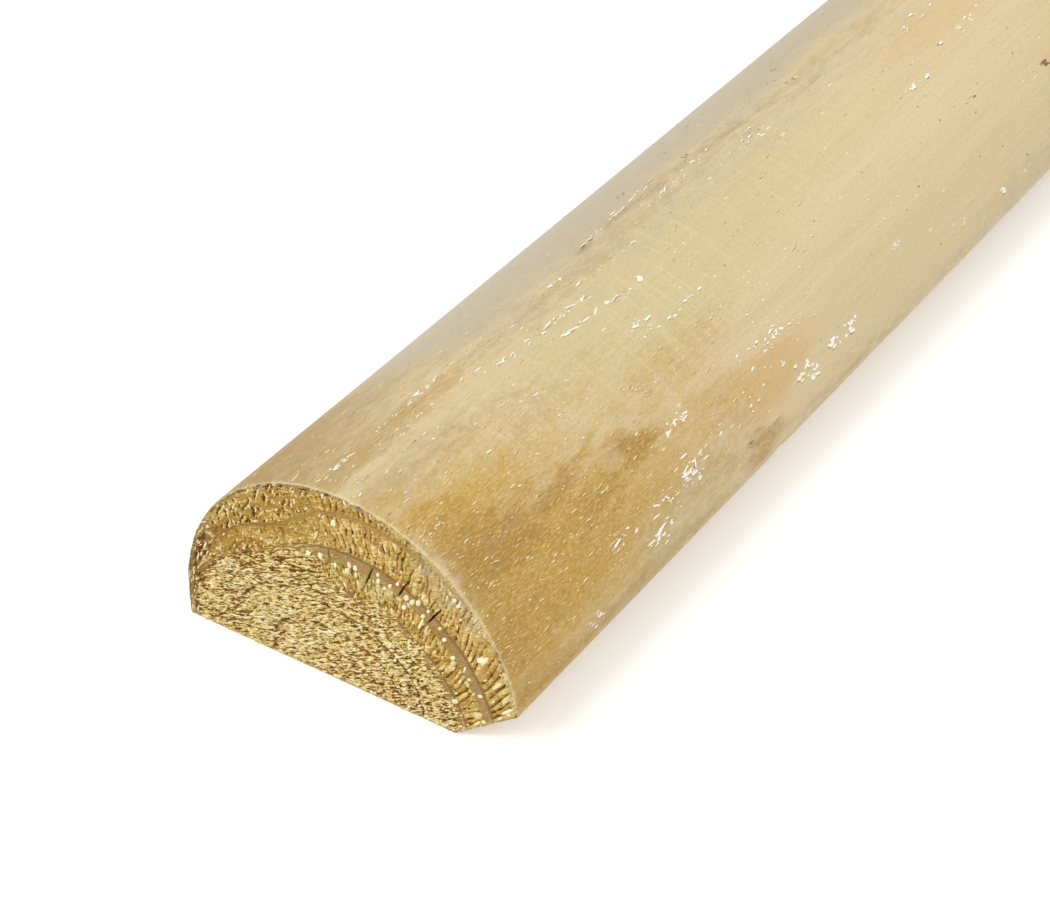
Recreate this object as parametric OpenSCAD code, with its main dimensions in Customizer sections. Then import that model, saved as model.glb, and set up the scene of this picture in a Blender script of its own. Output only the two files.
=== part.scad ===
// Half-round softwood post, one piece of timber.
// A pole is machined round, ripped lengthways a little to one side of its heart, and a second,
// skew saw cut takes the arris off along one side. The post lies on its wide sawn face.
// Frame: length along Y with the near end towards -Y, width along X, floor at Z = 0.
// The origin lies on the floor, in the middle of the length and of the overall width.

/* [Post] */
// Length the post is cut to
post_length = 1800; // [600:50:3600]
// Diameter the pole was machined to
pole_d = 100; // [70:1:160]
// How far the pole's centre line lies above the wide sawn face
centre_rise = 8; // [0:0.5:20]
// Radius worn onto the round face's arris at both ends
end_ease = 1.2; // [0.4:0.1:3]

/* [Bevel] */
// How far the bevel's foot stands in from the arris that it took away
bevel_setback = 17.5; // [4:0.5:28]
// Slope of the bevel above the wide sawn face, in degrees
bevel_angle = 38; // [20:1:60]

/* [Drying checks] */
// Sideways place of the pith on the sawn face, from under the pole's centre line
pith_offset = 2.5; // [-10:0.5:10]
// Width of a check's mouth in the end grain
check_w = 0.5; // [0.2:0.1:1.2]
// How deep the checks run into the end, at their middles
check_depth = 9; // [3:0.5:25]

/* [Hidden] */
$fn = 96;

// How far a cut starts outside the face that it opens in
bleed = 1;

pole_r = pole_d / 2;

// Half the width of the sawn face before the bevel is cut
flat_half = sqrt(pole_r * pole_r - centre_rise * centre_rise);
bevel_foot_x = flat_half - bevel_setback;

// Way to the round face along a ray that starts at (x, 0) and climbs at this angle
function ray_to_round(x, angle) =
  let (mid = x * cos(angle) - centre_rise * sin(angle),
       room = pole_r * pole_r - centre_rise * centre_rise - x * x)
  sqrt(mid * mid + room) - mid;

bevel_run = ray_to_round(bevel_foot_x, bevel_angle);
bevel_top_x = bevel_foot_x + bevel_run * cos(bevel_angle);
bevel_top_z = bevel_run * sin(bevel_angle);

// The bevel can take away the round face's widest line, so the width is centred anew
right_reach = bevel_top_z > centre_rise ? bevel_top_x : pole_r;
centre_shift = (pole_r - right_reach) / 2;

// The checks fan out from the pith. Each is its angle about the pith above the sawn face,
// the cover of sound wood between its outer tip and the round face, and its length.
CHECKS = [
  [99, 17.5, 2.5],
  [82, 16.5, 7],
  [68, 11.5, 5.5],
  [55, 9.5, 7]
];

// The pole as it leaves the rounding machine, its end arrises worn round
module machined_pole() {
  eased_length = post_length - 2 * end_ease;
  translate([0, 0, centre_rise])
    rotate([90, 0, 0])
      rotate_extrude() {
        translate([0, -post_length / 2])
          square([pole_r - end_ease, post_length]);
        translate([0, -eased_length / 2])
          square([pole_r, eased_length]);
        for (end = [-1, 1])
          translate([pole_r - end_ease, end * eased_length / 2])
            circle(end_ease);
      }
}

// What a lengthways saw cut through the X axis takes off below itself
module saw_waste() {
  translate([-pole_d, -post_length / 2 - bleed, -pole_d])
    cube([2 * pole_d, post_length + 2 * bleed, pole_d]);
}

// One drying check in the near end: a thin wedge that closes inwards, with a rounded bottom,
// as a crack in end grain is deepest at its middle
module drying_check(angle, cover, len) {
  outer_tip = ray_to_round(pith_offset, angle) - cover;
  bottom_r = (len * len / 4 + check_depth * check_depth) / (2 * check_depth);
  wedge_grow = (check_depth + bleed) / check_depth;
  translate([pith_offset, -post_length / 2, 0])
    rotate([0, -angle, 0])
      translate([outer_tip - len / 2, 0, 0])
        intersection() {
          translate([0, check_depth, 0])
            rotate([0, 90, 0])
              linear_extrude(height = len, center = true)
                scale(wedge_grow)
                  polygon([[-check_w / 2, -check_depth], [check_w / 2, -check_depth], [0, 0]]);
          translate([0, check_depth - bottom_r, 0])
            cylinder(h = 4 * check_w, r = bottom_r, center = true);
        }
}

module half_round_post() {
  color([0.80, 0.69, 0.47])
    translate([centre_shift, 0, 0])
      difference() {
        machined_pole();
        saw_waste();
        translate([bevel_foot_x, 0, 0])
          rotate([0, -bevel_angle, 0])
            saw_waste();
        for (check = CHECKS)
          drying_check(check[0], check[1], check[2]);
      }
}

half_round_post();
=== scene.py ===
# %% [markdown]
# A half-round fence post in treated pine. A pole was machined round, ripped lengthways just
# beside its heart, and bevelled along one side by a second saw cut. This notebook dresses the
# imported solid: it rebuilds the same form as one dense, closed mesh with its torn end grain,
# growth rings and drying checks, then lays the small loose things on it, such as torn fibres,
# resin beads and pale flecks of preservative salt.

# %% Load the fixed frame
import math

import bpy
import numpy as np
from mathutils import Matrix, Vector
from mathutils.geometry import delaunay_2d_cdt


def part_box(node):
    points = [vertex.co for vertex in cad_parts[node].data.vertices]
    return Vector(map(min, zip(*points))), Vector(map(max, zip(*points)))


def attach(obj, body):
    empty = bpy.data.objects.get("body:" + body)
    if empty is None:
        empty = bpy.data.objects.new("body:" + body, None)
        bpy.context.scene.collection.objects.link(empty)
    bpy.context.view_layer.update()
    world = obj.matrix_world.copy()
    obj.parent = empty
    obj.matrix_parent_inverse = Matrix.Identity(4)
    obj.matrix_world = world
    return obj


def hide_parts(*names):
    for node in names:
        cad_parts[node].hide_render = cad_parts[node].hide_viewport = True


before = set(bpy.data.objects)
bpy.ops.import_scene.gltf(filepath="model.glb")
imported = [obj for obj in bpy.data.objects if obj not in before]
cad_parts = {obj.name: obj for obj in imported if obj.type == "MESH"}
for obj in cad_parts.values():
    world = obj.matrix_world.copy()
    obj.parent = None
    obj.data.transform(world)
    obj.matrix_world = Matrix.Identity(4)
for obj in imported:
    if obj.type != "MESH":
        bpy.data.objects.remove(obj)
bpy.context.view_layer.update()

MM = 0.001
NODE = "half_round_post"
low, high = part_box(NODE)
print("solid, in metres:", [round(high[i] - low[i], 4) for i in range(3)])

# %% [markdown]
# The section comes first, since everything is measured from it. These are the driving sizes of
# the solid in millimetres, and the rest follows from them: where the bevel starts and ends, and
# how far the section moves sideways to be centred on its overall width.

# %% Section sizes, in millimetres
POLE_R = 50.0
BEVEL_SETBACK = 17.5
BEVEL_ANGLE = math.radians(38)
PITH_X = 2.5
CENTRE_RISE = high.z / MM - POLE_R
LENGTH = (high.y - low.y) / MM
NEAR_Y = low.y / MM

flat_half = math.sqrt(POLE_R ** 2 - CENTRE_RISE ** 2)
bevel_foot = flat_half - BEVEL_SETBACK
across = bevel_foot * math.cos(BEVEL_ANGLE) - CENTRE_RISE * math.sin(BEVEL_ANGLE)
room = POLE_R ** 2 - CENTRE_RISE ** 2 - bevel_foot ** 2
bevel_run = math.sqrt(across ** 2 + room) - across
bevel_top_x = bevel_foot + bevel_run * math.cos(BEVEL_ANGLE)
bevel_top_z = bevel_run * math.sin(BEVEL_ANGLE)
centre_x = high.x / MM - bevel_top_x
print("sawn face from", round(-flat_half, 2), "to", round(bevel_foot, 2))
print("bevel up to", round(bevel_top_x, 2), round(bevel_top_z, 2), "section moved by", round(centre_x, 3))

# %% [markdown]
# The camera stands where the photograph was taken, because the finish is judged from there. The
# straight outlines of the post, its end arc and the vanishing point of its length fix the view:
# 33.4 degrees round to the right of the end, 37 degrees down, with a long lens. The distances
# are in pole radii, so they follow the post's size.

# %% Camera at the photograph's angle
VIEW_ROUND = math.radians(33.42)
VIEW_DOWN = math.radians(37.02)
EYE_IN_RADII = Vector((6.067, -7.618, 8.756))
LENS_PIXELS = 2652
PHOTO_WIDTH = 1050
SENSOR = 36.0

scene = bpy.context.scene
scene.view_settings.view_transform = "Standard"
eye = EYE_IN_RADII * POLE_R * MM + Vector((centre_x * MM, low.y, 0))
camera_data = bpy.data.cameras.new("photo_camera")
camera_data.sensor_width = SENSOR
camera_data.lens = LENS_PIXELS * SENSOR / PHOTO_WIDTH
camera_data.clip_start = 0.02
camera = bpy.data.objects.new("photo_camera", camera_data)
camera.location = eye
camera.rotation_euler = (math.pi / 2 - VIEW_DOWN, 0, VIEW_ROUND)
scene.collection.objects.link(camera)
scene.camera = camera
print("camera at", [round(v, 3) for v in eye], "lens", round(camera_data.lens, 1))

# %% [markdown]
# Every material and every Geometry Nodes tree below is built by script. A few short helpers keep
# that readable: one adds a node with its settings and inputs, one does arithmetic, one mixes
# colours and one makes a ramp. Colours are written as they look on a screen, and made linear.

# %% Helpers that build node trees
def put(tree, kind, settings=None, **sockets):
    """Adds a node. Settings are its properties, other names its inputs, and a to d go by number."""
    node = tree.nodes.new(kind)
    count = len(tree.nodes)
    node.location = (190 * (count % 10), -240 * (count // 10))
    for name, value in (settings or {}).items():
        setattr(node, name, value)
    for name, value in sockets.items():
        where = node.inputs["abcd".index(name)] if name in "abcd" else node.inputs[name.replace("_", " ")]
        if isinstance(value, bpy.types.NodeSocket):
            tree.links.new(value, where)
        else:
            where.default_value = value
    return node


def sums(tree, operation, a, b=0.0, clamp=False):
    """One Math node's result."""
    return put(tree, "ShaderNodeMath", {"operation": operation, "use_clamp": clamp}, a=a, b=b).outputs[0]


def times(tree, a, b, clamp=False):
    """A product."""
    return sums(tree, "MULTIPLY", a, b, clamp)


def plus(tree, a, b, clamp=False):
    """A sum."""
    return sums(tree, "ADD", a, b, clamp)


def minus(tree, a, b, clamp=False):
    """A difference."""
    return sums(tree, "SUBTRACT", a, b, clamp)


def larger(tree, a, b):
    """The larger of two values."""
    return sums(tree, "MAXIMUM", a, b)


def vector(tree, operation, a, b):
    """One Vector Math node's result."""
    node = put(tree, "ShaderNodeVectorMath", {"operation": operation}, a=a)
    where = node.inputs["Scale"] if operation == "SCALE" else node.inputs[1]
    if isinstance(b, bpy.types.NodeSocket):
        tree.links.new(b, where)
    else:
        where.default_value = b
    return node.outputs[0]


def mixed(tree, factor, one, other, mode="MIX"):
    """A colour mix's result."""
    node = put(tree, "ShaderNodeMix", {"data_type": "RGBA", "blend_type": mode, "clamp_result": True})
    for socket, value in ((node.inputs[0], factor), (node.inputs[6], one), (node.inputs[7], other)):
        if isinstance(value, bpy.types.NodeSocket):
            tree.links.new(value, socket)
        else:
            socket.default_value = value
    return node.outputs[2]


def ramp(tree, value, stops):
    """A colour ramp's result, through stops of a place and a grey or a colour."""
    node = put(tree, "ShaderNodeValToRGB", Fac=value)
    elements = node.color_ramp.elements
    while len(elements) < len(stops):
        elements.new(0.5)
    for element, (place, shade) in zip(elements, stops):
        element.position = place
        element.color = shade if hasattr(shade, "__len__") else (shade, shade, shade, 1)
    return node.outputs[0]


def tone(red, green, blue):
    """A colour as seen on a screen, 0 to 255, made linear for the shader."""
    parts = [v / 255 for v in (red, green, blue)]
    return (*(v / 12.92 if v <= 0.04045 else ((v + 0.055) / 1.055) ** 2.4 for v in parts), 1.0)


print("a screen grey of 188 is", round(tone(188, 188, 188)[0], 3), "when made linear")

# %% [markdown]
# Light and floor make a plain studio. The world is a soft dome, one broad lamp stands to the
# front left and weaker ones to the right, so the round face falls off gently to its flank. White
# for the camera comes from Light Path, never from more light on the wood.

# %% White room: world, floor and lamps
# Sizes and distances in metres. The floor glows a little for the camera, and more further away
DOME_STRENGTH = 0.42
WHITE = (1, 1, 1, 1)
FLOOR_HALF = 15.0
FLOOR_DROP = 0.0002
FLOOR_GLOW = 0.2
FAR_GLOW = 0.7
GLOW_FROM, GLOW_FULL = 1.5, 4.0


def seen_directly(tree):
    """1 for rays that show the background itself: camera, mirror and glass rays."""
    path = put(tree, "ShaderNodeLightPath")
    glossy = larger(tree, path.outputs["Is Camera Ray"], path.outputs["Is Glossy Ray"])
    return larger(tree, glossy, path.outputs["Is Transmission Ray"])


world = bpy.data.worlds.new("white_room")
scene.world = world
world.use_nodes = True
tree = world.node_tree
tree.nodes.clear()
dome = put(tree, "ShaderNodeBackground", Color=(1.0, 0.99, 0.975, 1), Strength=DOME_STRENGTH)
backdrop = put(tree, "ShaderNodeBackground", Color=WHITE, Strength=1.0)
room_light = put(tree, "ShaderNodeMixShader", a=seen_directly(tree), b=dome.outputs[0],
                 c=backdrop.outputs[0])
put(tree, "ShaderNodeOutputWorld", Surface=room_light.outputs[0])

floor_material = bpy.data.materials.new("pale_floor")
floor_material.use_nodes = True
tree = floor_material.node_tree
tree.nodes.clear()
straight = seen_directly(tree)
paper = put(tree, "ShaderNodeBsdfDiffuse", Color=mixed(tree, straight, tone(226, 226, 224), WHITE))
floor_place = put(tree, "ShaderNodeTexCoord").outputs["Object"]
from_post = put(tree, "ShaderNodeVectorMath", {"operation": "LENGTH"}, a=floor_place).outputs["Value"]
far_away = put(tree, "ShaderNodeMapRange", Value=from_post, From_Min=GLOW_FROM, From_Max=GLOW_FULL,
               To_Min=FLOOR_GLOW, To_Max=FAR_GLOW).outputs[0]
glow = put(tree, "ShaderNodeEmission", Color=WHITE, Strength=times(tree, straight, far_away))
lit = put(tree, "ShaderNodeAddShader", a=paper.outputs[0], b=glow.outputs[0])
put(tree, "ShaderNodeOutputMaterial", Surface=lit.outputs[0])

floor_mesh = bpy.data.meshes.new("floor")
floor_z = low.z - FLOOR_DROP
floor_corners = [(x * FLOOR_HALF, y * FLOOR_HALF, floor_z) for x, y in
                 ((-1, -1), (1, -1), (1, 1), (-1, 1))]
floor_mesh.from_pydata(floor_corners, [], [(0, 1, 2, 3)])
floor_mesh.materials.append(floor_material)
floor = bpy.data.objects.new("floor", floor_mesh)
scene.collection.objects.link(floor)


def lamp(name, place, aim, size, watts):
    """A square soft box that points at aim."""
    data = bpy.data.lights.new(name, "AREA")
    data.size = size
    data.energy = watts
    box = bpy.data.objects.new(name, data)
    box.location = place
    box.rotation_euler = (Vector(aim) - Vector(place)).to_track_quat("-Z", "Y").to_euler()
    scene.collection.objects.link(box)


lamp("front_left", (-1.1, -3.0, 2.3), aim=(0, -0.5, 0), size=2.0, watts=75.0)
lamp("back_right", (1.6, 1.4, 2.4), aim=(0, -0.2, 0), size=2.6, watts=36.0)
lamp("front_right", (2.3, -2.2, 1.6), aim=(0, -0.7, 0), size=1.8, watts=27.0)
print("floor at", round(floor_z, 4), "and", len(bpy.data.lights), "lamps")

# %% [markdown]
# The milled blank follows a rule, so Geometry Nodes make it. A flat grid is bent into the
# section: one direction runs round it, along the flat, up the bevel and over the round face, and
# the other runs along the post. The stations crowd together by an exponential rule towards the
# photographed end, where the eye is close. The tree's inputs are the post's own sizes.

# %% Helpers that build and run Geometry Nodes
def node_tree(name, **inputs):
    """A Geometry Nodes group with named inputs. Returns it and the outputs of its input node."""
    tree = bpy.data.node_groups.new(name, "GeometryNodeTree")
    for label, kind in inputs.items():
        label = label.replace("_", " ")
        tree.interface.new_socket(name=label, in_out="INPUT", socket_type="NodeSocket" + kind)
    tree.interface.new_socket(name="Geometry", in_out="OUTPUT", socket_type="NodeSocketGeometry")
    return tree, put(tree, "NodeGroupInput").outputs


def end_tree(tree, geometry, material, roughen=None):
    """Ends a tree in real geometry that carries its material, roughened and smooth if asked."""
    shape = put(tree, "GeometryNodeRealizeInstances", Geometry=geometry).outputs[0]
    if roughen is not None:
        place = put(tree, "GeometryNodeInputPosition").outputs[0]
        cloud = put(tree, "ShaderNodeTexNoise", Vector=place, Scale=GRAIN_CELLS, Detail=1.0)
        offset = vector(tree, "SCALE", vector(tree, "SUBTRACT", cloud.outputs[1], (0.5, 0.5, 0.5)), roughen)
        shape = put(tree, "GeometryNodeSetPosition", Geometry=shape, Offset=offset).outputs[0]
        shape = put(tree, "GeometryNodeSetShadeSmooth", Geometry=shape).outputs[0]
    dressed = put(tree, "GeometryNodeSetMaterial", Geometry=shape, Material=material)
    put(tree, "NodeGroupOutput", Geometry=dressed.outputs[0])


def run_tree(tree, name, mesh, **values):
    """Runs a tree on a mesh. Returns an object that holds the plain mesh that comes out."""
    piece = bpy.data.objects.new(name, mesh)
    scene.collection.objects.link(piece)
    modifier = piece.modifiers.new(name, "NODES")
    modifier.node_group = tree
    for socket in tree.interface.items_tree:
        label = socket.name.replace(" ", "_")
        if socket.in_out == "INPUT" and label in values:
            modifier[socket.identifier] = values[label]
    graph = bpy.context.evaluated_depsgraph_get()
    made = bpy.data.meshes.new_from_object(piece.evaluated_get(graph), preserve_all_data_layers=True,
                                           depsgraph=graph)
    piece.modifiers.clear()
    piece.data = made
    made.name = name
    return piece


def read_attribute(mesh, name, width=1):
    """A named attribute, or co for the places, as an array."""
    if name == "co":
        found = np.empty(len(mesh.vertices) * 3)
        mesh.vertices.foreach_get("co", found)
        return found.reshape(-1, 3)
    found = np.empty(len(mesh.attributes[name].data) * width)
    mesh.attributes[name].data.foreach_get("value" if width == 1 else "vector", found)
    return found if width == 1 else found.reshape(-1, width)


# %% Geometry Nodes: the milled blank
def blank_tree():
    """Bends a grid into the section, with its stations crowded towards the near end."""
    tree, given = node_tree(
        "milled_blank", Columns="Int", Stations="Int", Flat_End="Float", Bevel_End="Float",
        Pole_Radius="Float", Centre_Rise="Float", Flat_Half="Float", Bevel_Foot="Float",
        Bevel_Top_X="Float", Bevel_Top_Z="Float", Round_Start="Float", Round_End="Float",
        Shift="Float", First="Float", Run="Float", Crowding="Float", Material="Material")

    def spread(value, start, end, first, last):
        """Goes from first to last while the value goes from start to end."""
        return put(tree, "ShaderNodeMapRange", {"clamp": True}, Value=value, From_Min=start, From_Max=end,
                   To_Min=first, To_Max=last).outputs[0]

    grid = put(tree, "GeometryNodeMeshGrid", Size_X=1.0, Size_Y=1.0,
               Vertices_X=given["Columns"], Vertices_Y=given["Stations"])
    index = put(tree, "GeometryNodeInputIndex").outputs[0]
    column = sums(tree, "FLOOR", sums(tree, "DIVIDE", index, given["Stations"]))
    station = sums(tree, "MODULO", index, given["Stations"])
    way_round = sums(tree, "DIVIDE", column, given["Columns"])
    way_along = sums(tree, "DIVIDE", station, minus(tree, given["Stations"], 1.0))

    left = times(tree, given["Flat Half"], -1.0)
    bevel_width = minus(tree, given["Bevel Top X"], given["Bevel Foot"])
    flat_x = spread(way_round, 0.0, given["Flat End"], left, given["Bevel Foot"])
    bevel_x = spread(way_round, given["Flat End"], given["Bevel End"], 0.0, bevel_width)
    sawn_z = spread(way_round, given["Flat End"], given["Bevel End"], 0.0, given["Bevel Top Z"])
    turn = spread(way_round, given["Bevel End"], 1.0, given["Round Start"], given["Round End"])
    round_x = times(tree, given["Pole Radius"], sums(tree, "COSINE", turn))
    round_z = times(tree, given["Pole Radius"], sums(tree, "SINE", turn))
    round_z = plus(tree, round_z, given["Centre Rise"])
    on_round = sums(tree, "GREATER_THAN", way_round, minus(tree, given["Bevel End"], 1e-5))
    pick = {"input_type": "FLOAT"}
    sawn_x = plus(tree, flat_x, bevel_x)
    x = put(tree, "GeometryNodeSwitch", pick, a=on_round, b=sawn_x, c=round_x).outputs[0]
    z = put(tree, "GeometryNodeSwitch", pick, a=on_round, b=sawn_z, c=round_z).outputs[0]

    grown = sums(tree, "EXPONENT", times(tree, given["Crowding"], way_along))
    full = sums(tree, "EXPONENT", given["Crowding"])
    share = sums(tree, "DIVIDE", minus(tree, grown, 1.0), minus(tree, full, 1.0))
    y = plus(tree, given["First"], times(tree, share, given["Run"]))
    place = put(tree, "ShaderNodeCombineXYZ", X=plus(tree, x, given["Shift"]), Y=y, Z=z)
    bent = put(tree, "GeometryNodeSetPosition", Geometry=grid.outputs[0], Position=place.outputs[0])
    geometry = bent.outputs[0]
    for name, value in (("column", column), ("station", station)):
        geometry = put(tree, "GeometryNodeStoreNamedAttribute", {"data_type": "FLOAT", "domain": "POINT"},
                       Geometry=geometry, Name=name, Value=value).outputs[0]
    end_tree(tree, geometry, given["Material"])
    return tree


BLANK = blank_tree()
print("blank tree:", len(BLANK.nodes), "nodes")

# %% Run the blank
FLAT_STEPS, BEVEL_STEPS, ROUND_STEPS = 18, 10, 142
FLAT, BEVEL, ROUND = 0, 1, 2
COLUMNS = FLAT_STEPS + BEVEL_STEPS + ROUND_STEPS
STATIONS = 250
CROWDING = 3.55
END_ROOM = 1.6

round_start = math.atan2(bevel_top_z - CENTRE_RISE, bevel_top_x)
round_end = math.pi + math.atan2(CENTRE_RISE, flat_half)
materials = {name: bpy.data.materials.new(name) for name in (
    "round_face", "sawn_face", "end_grain", "loose_fibre", "cream_sliver", "resin", "salt", "dark_speck")}
blank = run_tree(
    BLANK, "milled_blank", bpy.data.meshes.new("blank_start"),
    Columns=COLUMNS, Stations=STATIONS, Flat_End=FLAT_STEPS / COLUMNS,
    Bevel_End=(FLAT_STEPS + BEVEL_STEPS) / COLUMNS, Pole_Radius=POLE_R * MM, Centre_Rise=CENTRE_RISE * MM,
    Flat_Half=flat_half * MM, Bevel_Foot=bevel_foot * MM, Bevel_Top_X=bevel_top_x * MM,
    Bevel_Top_Z=bevel_top_z * MM, Round_Start=round_start, Round_End=round_end, Shift=centre_x * MM,
    First=(NEAR_Y + END_ROOM) * MM, Run=(LENGTH - 2 * END_ROOM) * MM, Crowding=CROWDING,
    Material=materials["round_face"])

skin = np.empty((STATIONS, COLUMNS, 3))
skin_rows = read_attribute(blank.data, "station").astype(int)
skin_columns = read_attribute(blank.data, "column").astype(int)
skin[skin_rows, skin_columns] = read_attribute(blank.data, "co") / MM - (centre_x, NEAR_Y, 0)
bpy.data.objects.remove(blank)
steps = np.diff(skin[:, 0, 1])
print("blank:", skin.shape, "station steps", steps[0].round(2), "to", steps[-1].round(1), "mm")
print("section box", skin[0].min(0).round(2), skin[0].max(0).round(2))

# %% [markdown]
# Timber is never random all over: each field here is smooth noise on a lattice, stretched along
# the grain or along the rings. One small noise function in NumPy serves all of the sculpting,
# so the displacements and the masks for the colours agree to the point.

# %% Smooth lattice noise
def corner_value(i, j, k, seed):
    """A fixed value from -1 to 1 for each lattice corner."""
    cell = (i * 73856093) ^ (j * 19349663) ^ (k * 83492791) ^ np.int64(seed * 40503 + 977)
    cell = (cell & np.int64(0xFFFFFFFF)).astype(np.uint64)
    for shift, factor in ((15, 2246822519), (13, 3266489917)):
        cell = ((cell ^ (cell >> np.uint64(shift))) * np.uint64(factor)) & np.uint64(0xFFFFFFFF)
    return (cell ^ (cell >> np.uint64(16))).astype(float) / 0x7FFFFFFF - 1.0


def noise(a, b, seed, c=0.5):
    """Noise from -1 to 1 at coordinates counted in cells."""
    given = np.broadcast_arrays(*(np.asarray(v, float) for v in (a, b, c)))
    base = [np.floor(v).astype(np.int64) for v in given]
    ease = [(v - i) ** 2 * (3 - 2 * (v - i)) for v, i in zip(given, base)]
    total = 0.0
    for di in (0, 1):
        for dj in (0, 1):
            for dk in (0, 1):
                weight = 1.0
                for side, part in zip((di, dj, dk), ease):
                    weight = weight * (part if side else 1 - part)
                total = total + weight * corner_value(base[0] + di, base[1] + dj, base[2] + dk, seed)
    return total


def step_up(start, end, value):
    """0 at start, 1 at end, smooth between. It falls instead where start is the larger."""
    t = np.clip((value - start) / (end - start), 0, 1)
    return t * t * (3 - 2 * t)


print("noise at three points:", noise([0.5, 1.5, 2.5], 0.2, 1, 0.7).round(3))

# %% [markdown]
# The growth field is the distance from the pith, bent a little as real rings are. Both ends, the
# round face and every mask read it, so a ring on the end grain meets its own line on the side.
# The outer rings lie about 10 mm apart: this pine grew fast. One ring is far broader than the
# rest, and it thins out towards the left.

# %% Growth rings round the pith
INNER_RING, BROAD_RING, OUTER_RING = 31.0, 42.0, 51.0
# Each ring's outer edge and the width of its dark latewood, both in millimetres
RINGS = [(6.5, 0.6), (11.5, 0.6), (17.0, 0.7), (24.0, 0.8), (INNER_RING, 2.4), (BROAD_RING, 3.7),
         (OUTER_RING, 0.9)]


def growth(x, z, y):
    """Growth radius in millimetres at a place in the section, y millimetres along the post."""
    r = np.hypot(x - PITH_X, z)
    turn = np.degrees(np.arctan2(z, x - PITH_X))
    wander = 0.5 * noise(x / 14, y / 160, 11, z / 14)
    wander = wander + 1.5 * noise(x / 60, y / 420, 12, z / 60) * step_up(0, 60, y)
    r = r + wander * step_up(4, 20, r) + 0.16 * noise(x / 2.6, y / 60, 13, z / 2.6)
    # To the left the tree grew faster at first, so the inner rings lie further out there
    inner_at = INNER_RING * (0.985 + 0.32 * step_up(104, 158, turn) + 0.085 * step_up(34, 2, turn))
    broad_at = BROAD_RING * (1 + 0.225 * step_up(126, 168, turn))
    # The outer ring swings out at the upper right and dips in at the upper left
    outer_at = 50.5 + 4.3 * np.cos(np.radians(turn - 65)) - 5.3 * np.exp(-(((turn - 117) / 17) ** 2))
    outer_at = np.maximum(outer_at, broad_at + 1.0)
    between = BROAD_RING + (r - broad_at) / (outer_at - broad_at) * (OUTER_RING - BROAD_RING)
    within = INNER_RING + (r - inner_at) / (broad_at - inner_at) * (BROAD_RING - INNER_RING)
    grow = np.where(r < inner_at, r / inner_at * INNER_RING, np.where(r < broad_at, within, between))
    grow = np.where(r > outer_at, OUTER_RING + r - outer_at, grow)
    # The broad ring's dark part thins out to the left, where soft wood reaches up into it
    return grow - 2.7 * step_up(96, 128, turn) * step_up(35, 39.5, grow) * step_up(42.0, 41.3, grow)


probe = growth(np.array([8.65, -16.75]), np.array([41.15, 37.3]), np.array([0.0, 0.0]))
print("growth at two points of the broad ring:", probe.round(2))

# %% [markdown]
# Stains on the round face come next. Preservative soaks in unevenly: a green-yellow tint over
# most of the top, ochre and brown where a hard ring lies bare by the near end, a thin grey film
# of dried salts towards the left. Each stain is a soft patch with its own place along and around
# the post, and its edges are warped by noise. A fixed seed scatters the far ones.

# %% Places of the stains
# By kind: mm along, degrees round, half length in mm, half width in degrees, strength
STAINS = {
    "tan": [(0, 124, 62, 30, 0.95), (10, 82, 48, 9, 0.6), (150, 8, 90, 5, 0.5), (10, 10, 24, 6, 0.7),
            (10, 99, 50, 7, 0.8), (95, 99, 90, 4.5, 0.45), (30, 110, 60, 8, 0.5),
            (180, 100, 50, 6, 0.36), (45, 5, 90, 8, 0.9), (118, 15, 14, 6, 0.6), (250, 96, 60, 5, 0.28),
            (105, 26, 26, 9, 0.3), (84, 18, 40, 7, 0.5), (125, 95, 70, 5, 0.45), (40, 130, 30, 14, 0.6)],
    "green": [(118, 76, 110, 20, 0.9), (45, 88, 60, 10, 0.5), (95, 60, 62, 12, 0.85),
              (200, 92, 60, 10, 0.3)],
    "gold": [(0, 78, 22, 8, 0.45), (0, 62, 58, 14, 0.9), (24, 68, 70, 15, 0.4), (92, 52, 40, 12, 0.36),
             (100, 36, 28, 11, 0.4), (82, 20, 34, 8, 0.3), (8, 10, 30, 7, 0.6), (10, 34, 78, 24, 1.0),
             (56, 41, 30, 8, 0.75), (60, 26, 34, 9, 0.5), (30, 98, 50, 6, 0.3), (0, 12, 40, 9, 0.6)],
    "brown": [(0, 122, 26, 18, 0.42), (0, 62, 22, 14, 0.42), (0, 30, 26, 16, 0.45), (0, 9, 30, 8, 0.5),
              (8, 49, 30, 11, 0.95), (40, 50, 22, 5, 0.6), (71, 43, 8, 6, 0.8), (50, 40, 26, 8, 0.4),
              (8, 27, 22, 8, 0.35), (118, 17, 9, 5, 0.45)],
    "film": [(84, 126, 36, 24, 1.0), (135, 124, 70, 24, 1.0), (215, 123, 80, 22, 1.0),
             (300, 128, 70, 28, 0.9), (150, 8, 40, 7, 0.35), (225, 8, 60, 8, 0.5),
             (190, 92, 130, 13, 0.42), (130, 160, 200, 26, 0.9), (300, 10, 70, 8, 0.5),
             (60, 72, 30, 6, 0.3)],
    "blush": [(130, 31, 24, 9, 0.9), (100, 34, 30, 9, 0.4), (292, 80, 40, 10, 0.5),
              (255, 97, 40, 5, 0.5), (330, 45, 30, 12, 0.4)]}
# For each kind, how many far stains there are, their half length, half width and strength
FAR_STAINS = {"tan": (12, 130, 8, 0.5), "green": (16, 150, 22, 0.6), "gold": (9, 120, 14, 0.45),
              "brown": (6, 22, 6, 0.4), "film": (14, 170, 20, 0.6), "blush": (12, 110, 14, 0.45)}
SEEN_LENGTH = 345.0

rng = np.random.default_rng(41)
for kind, (count, half_long, half_wide, strength) in FAR_STAINS.items():
    for _ in range(count):
        scale = rng.uniform(0.5, 1.5)
        STAINS[kind].append((rng.uniform(SEEN_LENGTH + 40, LENGTH), rng.uniform(0, 185), half_long * scale,
                             half_wide * rng.uniform(0.5, 1.4), strength * rng.uniform(0.5, 1.2)))


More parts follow.
